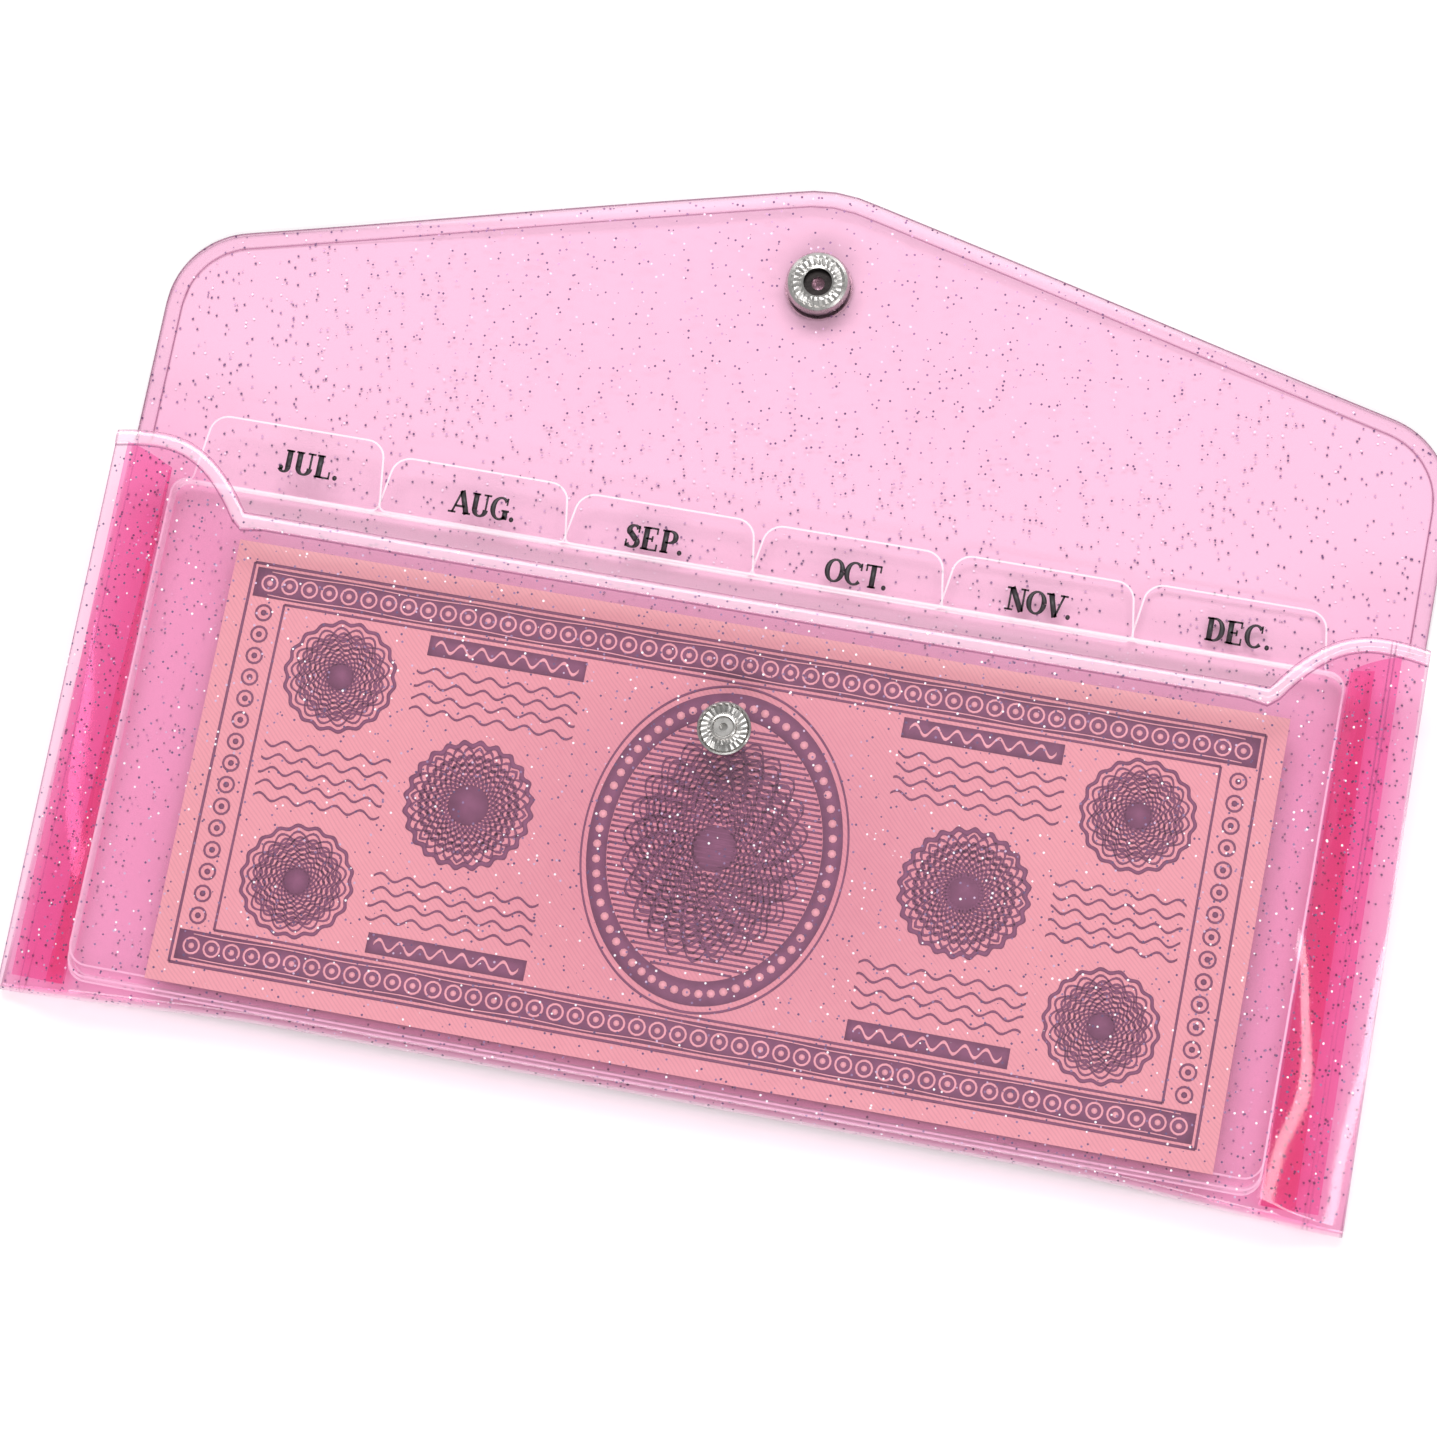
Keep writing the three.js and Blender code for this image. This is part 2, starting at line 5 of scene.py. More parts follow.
import bmesh
import bpy
from bpy.props import FloatProperty, FloatVectorProperty, PointerProperty
from mathutils import Euler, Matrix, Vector


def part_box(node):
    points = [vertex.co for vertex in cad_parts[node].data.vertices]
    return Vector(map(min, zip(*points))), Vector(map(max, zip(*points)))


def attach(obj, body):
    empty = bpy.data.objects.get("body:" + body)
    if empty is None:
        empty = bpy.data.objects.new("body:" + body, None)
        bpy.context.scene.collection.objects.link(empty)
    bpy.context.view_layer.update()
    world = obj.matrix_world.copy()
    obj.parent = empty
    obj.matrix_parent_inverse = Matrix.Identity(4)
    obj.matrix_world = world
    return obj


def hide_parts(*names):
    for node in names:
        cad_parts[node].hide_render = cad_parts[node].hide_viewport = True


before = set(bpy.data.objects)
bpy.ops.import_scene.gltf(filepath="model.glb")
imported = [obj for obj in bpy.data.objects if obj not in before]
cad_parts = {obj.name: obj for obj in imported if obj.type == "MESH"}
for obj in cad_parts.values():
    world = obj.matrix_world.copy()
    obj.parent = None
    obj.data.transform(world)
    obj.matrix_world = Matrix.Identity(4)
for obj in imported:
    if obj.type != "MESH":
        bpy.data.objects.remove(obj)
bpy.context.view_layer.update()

bl_info = {
    "name": "Month Envelope Wallet",
    "version": (1, 0, 0),
    "blender": (4, 5, 0),
    "location": "View3D > Sidebar > Wallet",
    "description": "Builds a clear glitter wallet with month dividers, a paper note and a snap",
    "category": "Object",
}

# Units and the frame: wallet Y starts at the line through the bottom corner tips
MM = 0.001
FRAME_Y = 69.7

# Body sheet, in mm
HALF_BOTTOM = 98.5
HALF_MOUTH = 97.0
HALF_FLAP = 96.7
EAR_HEIGHT = 84.2
EAR_DROP = 0.6
EAR_TOP_X = 91.0
MOUTH_HEIGHT = 74.4
HALF_STRAIGHT = 75.4
EAR_CURVE_RUN = 15.6
EAR_CURVE_POWER = 2.3
BOTTOM_SAG = 1.7
BOTTOM_SAG_RUN = 42.0
FILM = 0.5
MOUTH_DEPTH = 10.5
BOTTOM_DEPTH = 6.4
CORNER_DEPTH = 2.6
EAR_DEPTH = 9.8
FULL_DEPTH_FROM = 48.0
SIDE_SLOPE_RUN = 12.0
BOTTOM_TURN = 2.6
BOTTOM_SQUARENESS = 3.2
FOLD_Y = 84.5
PEAK_Y = 139.4
PEAK_RADIUS = 20.0
SHOULDER_RADIUS = 13.0
FLAP_SLOPE = math.radians(13.6)
SNAP_LIFT = 1.3
FLAP_LIFT_FLAT = 24.0
FLAP_LIFT_END = 84.0
SOCKET_Y = 124.8
CAP_RADIUS = 5.1
# Loose film: height of its waves, and the heights between which it is fully loose
WAVE_HEIGHT = 0.28
WAVE_FROM = (3, 14)
WAVE_TO = (66, 76)
# Distances of the grid's columns from a side edge, of its rows from the mouth and the flap's outline
EDGE_STEPS = (
    0.0, 0.15, 0.4, 0.8, 1.2, 1.6, 1.95, 2.12, 2.3, 2.48, 2.9, 3.2, 3.4, 3.6, 4.2, 4.75, 4.95, 5.15,
    5.35, 5.55, 5.75, 6.5, 7.3, 8.2, 9.2, 10.4, 11.6, 12.8, 14.0, 15.2, 16.4, 17.6, 18.8, 20.0, 21.6,
)
RIM_STEPS = (0.0, 0.15, 0.4, 0.8, 1.2, 1.6, 1.95, 2.12, 2.3, 2.48)
# Steps of the grid between them: across the middle, down the front, round the bottom, up back and flap
MIDDLE_STEPS = 44
FRONT_STEPS = 30
TURN_STEPS = 16
BACK_STEPS = 12
FLAP_STEPS = 24
# Dark lines of the rim and of the side welds, by distance from the outline, and half their widths
RIM_LINES = (0.0, 2.3)
RIM_LINE_HALF = 0.18
SIDE_WELDS = {-1: (3.4,), 1: (4.95, 5.55)}
WELD_HALF = 0.2
EDGE_HALF = 0.4

# Gussets, in mm
GUSSET_FILM = 0.3
GUSSET_FOOT = 2.4
GUSSET_TOP_DIP = 2.8
GUSSET_GAP = 0.3
GUSSET_COLUMNS = 26
GUSSET_ROWS = 30
GUSSET_BOW = 1.15
GUSSET_PINCH = 1.4
GUSSET_UNDER_MOUTH = 1.0
GUSSET_UNDER_EAR = 0.9
# Side, crease, and the insets of the front and back welds from the side edge
CREASES = {"gusset_left": (-1, 89.2, 1.7, 6.4), "gusset_right": (1, 86.4, 3.8, 7.0)}

# Dividers, in mm
MONTHS = ("JUL.", "AUG.", "SEP.", "OCT.", "NOV.", "DEC.")
DIVIDER_NAMES = tuple("divider_" + month[:3].lower() for month in MONTHS)
DIVIDER_LEFT = -88.9
DIVIDER_RIGHT = 86.1
DIVIDER_FOOT = 3.4
DIVIDER_LIFTS = (1.9, 0.3, -0.3, -0.2, 0.2, 0.8)
DIVIDER_HEIGHT = 76.5
DIVIDER_TOP = 79.5
DIVIDER_FILM = 0.3
DIVIDER_PITCH = 0.6
DIVIDER_LOWEST = 0.8
DIVIDER_CORNER = 3.0
DIVIDER_OUTLINE = 0.28
TAB_MARGIN = 2.85
TAB_PITCH = 28.1
TAB_BASE = 28.8
TAB_FLARE = 1.3
TAB_CORNER = 2.5
TAB_ROOT_CORNER = 0.8
CORNER_STEPS = 6
LABEL_LEFTS = (-74.9, -48.6, -21.95, 7.8, 34.6, 63.9)
LABEL_RIGHTS = (-65.8, -38.7, -13.3, 17.1, 44.25, 73.3)
LABEL_RISE = 0.9
# Share of white in the dividers' faces, and in their cut edges, where the white is a painted glow of the
# light that the sheet pipes out at its edge
SHEET_MILK = 0.03
EDGE_GLOW_MILK = 0.6

# Paper note, in mm
NOTE_CENTRE = (1.2, 38.35)
NOTE_HALF = (78.0, 33.15)
NOTE_TOP = 4.6
NOTE_THICKNESS = 0.2
NOTE_COLUMNS = 78
NOTE_ROWS = 34
INK_THICKNESS = 0.03
INK_LIFT = 0.03
LIGHT_INK_LIFT = 0.08

# Ornament of the note, in mm from its centre
FRAMES = ((3.0, 0.4), (8.6, 0.35))
BORDER_INSET = 5.8
BAND_HALF = 2.2
BAND_LINE = 1.75
MEDALLION_STRETCH = (0.80, 1.0)
MEDALLION_RADIUS = 21.2
MEDALLION_DOTS = 60
HATCH_STEPS = 46
HATCH_HALF = 18.6
HATCH_RADIUS = 19.3
CORNER_ROSETTE = (59.0, 15.4)
SIDE_ROSETTE_X = 36.5
SCRIPT_LINE = 0.34
BANNER_Y = 22.3

# Camera at the photograph's viewing angle
CAMERA_PLACE = (0.06958, -0.12138, 0.59933)
CAMERA_TURN = (math.radians(11.42), math.radians(4.749), math.radians(10.96))
CAMERA_LENS = 105.2
SENSOR_WIDTH = 36.0
CLIP_START = 0.01

# Stage: floor and panels in metres, power in watts
FLOOR_HALF = 4.0
FLOOR_DROP = 0.0002
SKY_STRENGTH = 0.41
PANELS = (
    ("key_panel", (-0.2, 1.05, 1.45), (1.8, 0.7), 24.5),
    ("front_panel", (0.1, -1.3, 1.1), (1.6, 0.5), 13.5),
    ("right_strip", (0.80, -0.15, 1.0), (0.08, 1.7), 3.4),
)

# Kinds of fleck: where each starts in the draw, and its colour. The colours are painted reflections of the
# mirror-like flecks: the dark ones paint the dark surroundings they mirror, the near white one paints their
# glints
FLECKS = (
    (0.0, (0.16, 0.10, 0.20)),
    (0.42, (0.30, 0.19, 0.34)),
    (0.68, (0.62, 0.44, 0.62)),
    (0.82, (0.95, 0.90, 0.96)),
)
# Painted shade: the near black that the snap's metals blend to towards their recesses
PAINTED_METAL_SHADE = (0.035, 0.03, 0.03)
FIBRE = (0.98, 0.86, 0.66)


def lerp(a, b, t):
    """The value a share of the way from a to b."""
    return a + (b - a) * t


def clamp(t):
    """Keeps a share between 0 and 1."""
    return min(max(t, 0.0), 1.0)


def smoothstep(x, low, high):
    """Rises smoothly from 0 at low to 1 at high."""
    t = clamp((x - low) / (high - low))
    return t * t * (3 - 2 * t)


def spread(low, high, steps):
    """Evenly spaced values from low to high."""
    return [lerp(low, high, i / steps) for i in range(steps + 1)]


def at(x, y, z):
    """A place in wallet mm as metres in the row's frame."""
    return Vector((x * MM, (y - FRAME_Y) * MM, z * MM))


def half_width(y):
    """Half the sheet's width at a height."""
    if y > EAR_HEIGHT:
        return HALF_FLAP
    return lerp(HALF_BOTTOM, HALF_MOUTH, clamp(y / EAR_HEIGHT))


def mouth_edge(x):
    """Height of the scooped mouth with its two ears."""
    curve = clamp((abs(x) - HALF_STRAIGHT) / EAR_CURVE_RUN)
    drop = clamp((abs(x) - EAR_TOP_X) / (HALF_MOUTH - EAR_TOP_X))
    rise = 1 - (1 - curve) ** EAR_CURVE_POWER
    return lerp(MOUTH_HEIGHT, EAR_HEIGHT, rise) - EAR_DROP * drop**2


def mouth_line(x, inset):
    """A line that runs inside the mouth's edge."""
    slope = mouth_edge(x + 0.5) - mouth_edge(x - 0.5)
    return mouth_edge(x) - inset * math.hypot(1, slope)


def bottom_edge(x):
    """Height of the hollow bottom edge."""
    return BOTTOM_SAG * smoothstep(HALF_BOTTOM - abs(x), 0, BOTTOM_SAG_RUN)


def side_slope(x, y):
    """0 on the flat middle, 1 at the side edges."""
    half = half_width(y)
    return smoothstep(abs(x), half - SIDE_SLOPE_RUN, half)


def front_face(x, y):
    """Height of the front film's outer face over the floor."""
    middle = lerp(BOTTOM_DEPTH, MOUTH_DEPTH, smoothstep(y, 0, FULL_DEPTH_FROM))
    edge = lerp(CORNER_DEPTH, EAR_DEPTH, clamp(y / EAR_HEIGHT))
    return lerp(middle, edge, side_slope(x, y))


def flap_line(x, inset=0.0):
    """The flap's outline with its blunt peak and two round shoulders, or a line inside it."""
    across = abs(x)
    peak_radius = PEAK_RADIUS - inset
    if across < peak_radius * math.sin(FLAP_SLOPE):
        return PEAK_Y - PEAK_RADIUS + math.sqrt(peak_radius**2 - across**2)
    sharp_peak = PEAK_Y + PEAK_RADIUS * (1 / math.cos(FLAP_SLOPE) - 1)
    shoulder = HALF_FLAP - SHOULDER_RADIUS
    radius = SHOULDER_RADIUS - inset
    if across < shoulder + radius * math.sin(FLAP_SLOPE):
        return sharp_peak - inset / math.cos(FLAP_SLOPE) - across * math.tan(FLAP_SLOPE)
    shoulder_y = sharp_peak - shoulder * math.tan(FLAP_SLOPE) - SHOULDER_RADIUS / math.cos(FLAP_SLOPE)
    past = max(across - HALF_FLAP + inset, 0)
    return shoulder_y - past + math.sqrt(max(radius**2 - (across - shoulder) ** 2, 0))


def flap_under(x, y):
    """Height of the flap's underside, which the cap of the snap lifts."""
    along = smoothstep(y, FOLD_Y, SOCKET_Y - CAP_RADIUS)
    across = 1 - smoothstep(abs(x), FLAP_LIFT_FLAT, FLAP_LIFT_END)
    return SNAP_LIFT * along * across


def film_wave(x, y):
    """Soft unevenness of the loose front film, in mm."""
    calm = (1 - side_slope(x, y)) * smoothstep(y, *WAVE_FROM) * (1 - smoothstep(y, *WAVE_TO))
    return WAVE_HEIGHT * calm * math.sin(x / 15.0 + y / 31.0) * math.sin(y / 11.0 - x / 40.0 + 0.8)


def line_at(distance, centre, half):
    """1 on a line, falling to 0 at half its width."""
    return clamp(1 - abs(distance - centre) / half)


# Shader building
def new_material(name):
    """A material with an empty node tree."""
    made = bpy.data.materials.new(name)
    made.use_nodes = True
    made.node_tree.nodes.clear()
    return made


def put(tree, kind, links=None, values=None, **settings):
    """A node with its settings, its plain values and its links, by input name or number."""
    node = tree.nodes.new("ShaderNode" + kind)
    for key, value in settings.items():
        setattr(node, key, value)
    for key, value in (values or {}).items():
        node.inputs[key].default_value = value
    for key, source in (links or {}).items():
        tree.links.new(source, node.inputs[key])
    return node


def maths(tree, operation, first, second=None, third=None):
    """A Math node fed by values or by other nodes."""
    node = put(tree, "Math", operation=operation)
    for number, value in enumerate((first, second, third)):
        if value is None:
            continue
        if isinstance(value, (int, float)):
            node.inputs[number].default_value = value
        else:
            tree.links.new(value, node.inputs[number])
    return node.outputs[0]


def mix_shaders(tree, share, first, second):
    """The first shader where the share is 0, the second where it is 1."""
    node = put(tree, "MixShader", links={1: first, 2: second})
    if isinstance(share, (int, float)):
        node.inputs[0].default_value = share
    else:
        tree.links.new(share, node.inputs[0])
    return node.outputs[0]


def rgba(colour):
    return (colour[0], colour[1], colour[2], 1.0)


def blend(tree, share, first, second):
    """A colour between two, each a plain colour or another node's."""
    node = put(tree, "Mix", links={0: share}, data_type="RGBA")
    for number, colour in ((6, first), (7, second)):
        if isinstance(colour, bpy.types.NodeSocket):
            tree.links.new(colour, node.inputs[number])
        else:
            node.inputs[number].default_value = rgba(colour)
    return node.outputs[2]


def noise(tree, coords, scale, detail):
    """Soft noise from 0 to 1, with its scale per metre."""
    node = put(tree, "TexNoise", links={"Vector": coords}, values={"Scale": scale, "Detail": detail})
    return node.outputs["Fac"]


def bumped(tree, height, strength, distance):
    """A normal that follows a height."""
    values = {"Strength": strength, "Distance": distance}
    return put(tree, "Bump", links={"Height": height}, values=values).outputs[0]


def show(tree, shader):
    """Makes a shader the material's surface."""
    put(tree, "OutputMaterial", links={"Surface": shader})


def sheet_gloss(tree, least):
    """How much a smooth film mirrors, from either side."""
    facing = put(tree, "LayerWeight", values={"Blend": 0.5}).outputs["Facing"]
    rise = maths(tree, "POWER", facing, 4.0)
    return maths(tree, "MULTIPLY_ADD", rise, 0.85, least)


def glitter(tree, coords, sizes):
    """The share and the shader of the flecks cast into the film, whose colours are painted reflections and
    glints.
    """
    cells = put(
        tree,
        "TexVoronoi",
        links={"Vector": coords},
        values={"Scale": 1 / sizes.fleck_pitch, "Randomness": 1.0},
        voronoi_dimensions="3D",
        feature="F1",
    )
    fleck = maths(tree, "LESS_THAN", cells.outputs["Distance"], sizes.fleck_radius / sizes.fleck_pitch)
    pick = put(tree, "SeparateColor", links={"Color": cells.outputs["Color"]}).outputs[0]
    ramp = put(tree, "ValToRGB", links={"Fac": pick})
    ramp.color_ramp.interpolation = "CONSTANT"
    while len(ramp.color_ramp.elements) < len(FLECKS):
        ramp.color_ramp.elements.new(0.5)
    # The fleck colours paint reflections: dark mirrored surroundings, and bright glints
    for element, (place, colour) in zip(ramp.color_ramp.elements, FLECKS):
        element.position = place
        element.color = rgba(colour)
    shader = put(
        tree,
        "BsdfPrincipled",
        links={"Base Color": ramp.outputs["Color"]},
        values={"Metallic": 0.3, "Roughness": 0.35},
    )
    return fleck, shader.outputs[0]


def vinyl_material(name, sizes, colours, tint, seamed):
    """Clear tinted vinyl with cast glitter; seamed films read the seam and pale attributes."""
    made = new_material(name)
    tree = made.node_tree
    coords = put(tree, "TexCoord").outputs["Object"]
    clear = put(tree, "BsdfTransparent", values={"Color": rgba(tint)}).outputs[0]
    haze = put(
        tree,
        "BsdfPrincipled",
        values={"Base Color": rgba(colours.haze), "Roughness": 0.4, "Specular IOR Level": 0.2},
    ).outputs[0]
    patches = noise(tree, coords, 60.0, 0.0)
    share = maths(tree, "MULTIPLY_ADD", patches, 0.024, 0.004)
    if seamed:
        # The pale share: whiter welded vinyl, and on the rim also a painted highlight of the bead
        pale = put(tree, "Attribute", attribute_name="pale").outputs["Fac"]
        share = maths(tree, "MULTIPLY_ADD", pale, 0.45, share)
    body = mix_shaders(tree, share, clear, haze)
    if seamed:
        seam = put(tree, "Attribute", attribute_name="seam").outputs["Fac"]
        line = put(
            tree, "BsdfPrincipled", values={"Base Color": rgba(colours.seam), "Roughness": 0.3}
        ).outputs[0]
        body = mix_shaders(tree, maths(tree, "MULTIPLY", seam, 0.72), body, line)
    gloss = put(
        tree,
        "BsdfGlossy",
        links={"Normal": bumped(tree, patches, 0.35, 0.0008)},
        values={"Color": (1, 1, 1, 1), "Roughness": 0.07},
    ).outputs[0]
    body = mix_shaders(tree, sheet_gloss(tree, 0.045), body, gloss)
    fleck, shine = glitter(tree, coords, sizes)
    show(tree, mix_shaders(tree, fleck, body, shine))
    return made


def clear_material(name, tint):
    """The inner wall of a film or sheet: it only tints what is seen through it."""
    made = new_material(name)
    tree = made.node_tree
    coords = put(tree, "TexCoord").outputs["Object"]
    lighter = tuple(min(1.0, part * 1.02) for part in tint)
    tone = blend(tree, noise(tree, coords, 40.0, 0.0), tint, lighter)
    show(tree, put(tree, "BsdfTransparent", links={"Color": tone}).outputs[0])
    return made


def frosted_material(name, colours, white):
    """Milky sheet: mostly see-through, with a share of white that catches the light."""
    made = new_material(name)
    tree = made.node_tree
    coords = put(tree, "TexCoord").outputs["Object"]
    grain = noise(tree, coords, 900.0, 0.0)
    clear = put(tree, "BsdfTransparent", values={"Color": rgba(colours.frost)}).outputs[0]
    milk = put(
        tree,
        "BsdfPrincipled",
        values={"Base Color": (1.0, 0.93, 0.96, 1), "Roughness": 0.5, "Specular IOR Level": 0.1},
    ).outputs[0]
    # For the cut edges, the large white share paints the glow of light piped out at the edge
    share = maths(tree, "MULTIPLY_ADD", grain, white * 0.3, white * 0.85)
    show(tree, mix_shaders(tree, share, clear, milk))
    return made


def oval(tree, coords, centre, half, soft):
    """1 inside an oval on the note, falling to 0 over its soft edge."""
    moved = put(tree, "Mapping", links={"Vector": coords})
    moved.inputs["Location"].default_value = (-centre[0] / half[0], -centre[1] / half[1], 0)
    moved.inputs["Scale"].default_value = (1 / half[0], 1 / half[1], 0)
    length = put(tree, "VectorMath", links={0: moved.outputs[0]}, operation="LENGTH").outputs["Value"]
    edge = put(tree, "MapRange", links={"Value": length}, interpolation_type="SMOOTHSTEP")
    edge.inputs["From Min"].default_value = 1.0
    edge.inputs["From Max"].default_value = 1.0 - soft
    return edge.outputs[0]


def paper_material(name, colours):
    """Cotton paper with a soft colour field, fine line work and fibres."""
    made = new_material(name)
    tree = made.node_tree
    coords = put(tree, "TexCoord").outputs["Object"]
    centre = (NOTE_CENTRE[0] * MM, (NOTE_CENTRE[1] - FRAME_Y) * MM)
    middle = oval(tree, coords, centre, (0.055, 0.040), 0.9)
    base = blend(tree, middle, colours.paper, colours.paper_middle)
    waves = put(
        tree,
        "TexWave",
        links={"Vector": coords},
        values={"Scale": 800.0, "Distortion": 3.0, "Detail": 0.0, "Detail Scale": 0.3},
        bands_direction="DIAGONAL",
    )
    lines = maths(tree, "GREATER_THAN", waves.outputs["Fac"], 0.72)
    lined = blend(tree, maths(tree, "MULTIPLY", lines, 0.13), base, colours.ink)
    fibres = noise(tree, coords, 700.0, 4.0)
    mottled = blend(tree, maths(tree, "MULTIPLY", fibres, 0.14), lined, FIBRE)
    paper = put(
        tree,
        "BsdfPrincipled",
        links={"Base Color": mottled, "Normal": bumped(tree, fibres, 0.2, 0.0001)},
        values={"Roughness": 0.8, "Specular IOR Level": 0.2},
    )
    show(tree, paper.outputs[0])
    return made


def ink_material(name, colour, roughness):
    """Printing ink that lies unevenly."""
    made = new_material(name)
    tree = made.node_tree
    coords = put(tree, "TexCoord").outputs["Object"]
    lighter = tuple(min(1.0, part * 1.6 + 0.02) for part in colour)
    tone = blend(tree, noise(tree, coords, 500.0, 3.0), colour, lighter)
    shader = put(tree, "BsdfPrincipled", links={"Base Color": tone}, values={"Roughness": roughness})
    show(tree, shader.outputs[0])
    return made


def metal_material(name, colour, roughness, dark_end, light_end):
    """Plated metal with fine turning marks, slightly uneven polish, and painted shade that darkens it
    towards its recesses.
    """
    made = new_material(name)
    tree = made.node_tree
    coords = put(tree, "TexCoord").outputs["Object"]
    smears = noise(tree, coords, 600.0, 3.0)
    rough = maths(tree, "MULTIPLY_ADD", smears, 0.2, roughness - 0.1)
    darker = tuple(part * 0.72 for part in colour)
    tone = blend(tree, smears, darker, colour)
    # Painted shade: the metal blends to near black towards the dark end of a height range
    height = put(tree, "SeparateXYZ", links={0: coords}).outputs["Z"]
    depth = put(tree, "MapRange", links={"Value": height})
    depth.inputs["From Min"].default_value = dark_end * MM
    depth.inputs["From Max"].default_value = light_end * MM
    tone = blend(tree, depth.outputs[0], PAINTED_METAL_SHADE, tone)
    marks = bumped(tree, noise(tree, coords, 2500.0, 1.0), 0.15, 0.00005)
    shader = put(
        tree,
        "BsdfPrincipled",
        links={"Base Color": tone, "Roughness": rough, "Normal": marks},
        values={"Metallic": 1.0},
    )
    show(tree, shader.outputs[0])
    return made


# Mesh building
def keep(bm, name, materials, replaced=(), sharp=40):
    """Makes the piece's object from its bmesh and ties it to the frame."""
    mesh = bpy.data.meshes.new(name)
    bm.to_mesh(mesh)
    bm.free()
    for polygon in mesh.polygons:
        polygon.use_smooth = True
    mesh.set_sharp_from_angle(angle=math.radians(sharp))
    for material in materials:
        mesh.materials.append(material)
    piece = bpy.data.objects.new(name, mesh)
    bpy.context.scene.collection.objects.link(piece)
    if replaced:
        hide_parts(*replaced)
    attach(piece, "root")
    return piece


def double_grid(columns, rows):
    """A flat grid and its copy as one closed skin, with each vertex's column, row and wall on layers."""
    bm = bmesh.new()
    bmesh.ops.create_grid(bm, x_segments=columns, y_segments=rows, size=1.0)
    across = bm.verts.layers.int.new("across")
    along = bm.verts.layers.int.new("along")
    wall = bm.verts.layers.int.new("wall")
    for vert in bm.verts:
        vert[across] = round((vert.co.x + 1) / 2 * columns)
        vert[along] = round((vert.co.y + 1) / 2 * rows)
    grown = bmesh.ops.extrude_face_region(bm, geom=bm.faces[:])
    for item in grown["geom"]:
        if isinstance(item, bmesh.types.BMVert):
            item[wall] = 1
    return bm, across, along, wall


def mark_inner(bm, wall):
    """Gives the inner wall of a film its own material."""
    for face in bm.faces:
        if all(vert[wall] for vert in face.verts):
            face.material_index = 1


def drop_layers(bm):
    """Removes the grid's own numbering, which the mesh has no use for."""
    for name in ("across", "along", "wall"):
        bm.verts.layers.int.remove(bm.verts.layers.int[name])


def sheet_columns():
    """Each column's share of half the width and its distance from the side edge."""
    inner = HALF_MOUTH - EDGE_STEPS[-1]
    columns = [(distance / HALF_MOUTH - 1, distance) for distance in EDGE_STEPS]
    columns += [(x / HALF_MOUTH, HALF_MOUTH - abs(x)) for x in spread(-inner, inner, MIDDLE_STEPS)[1:-1]]
    columns += [(1 - distance / HALF_MOUTH, distance) for distance in reversed(EDGE_STEPS)]
    return columns


def rim_rise(distance, sizes):
    """Height of the rolled rim over the film at a distance from the outline."""
    half = sizes.rim_width / MM / 2
    return sizes.rim_rise / MM * math.sqrt(max(0.0, 1 - ((distance - half) / half) ** 2))


def rim_marks(distance):
    """The rim's dark lines and its pale middle at a distance from the outline; the pale middle is partly
    the thicker weld's whiter vinyl, partly a painted highlight of the rolled bead.
    """
    seam = max(line_at(distance, line, RIM_LINE_HALF) for line in RIM_LINES)
    pale = smoothstep(distance, 0.1, 0.5) * (1 - smoothstep(distance, 1.9, 2.2))
    return seam, pale


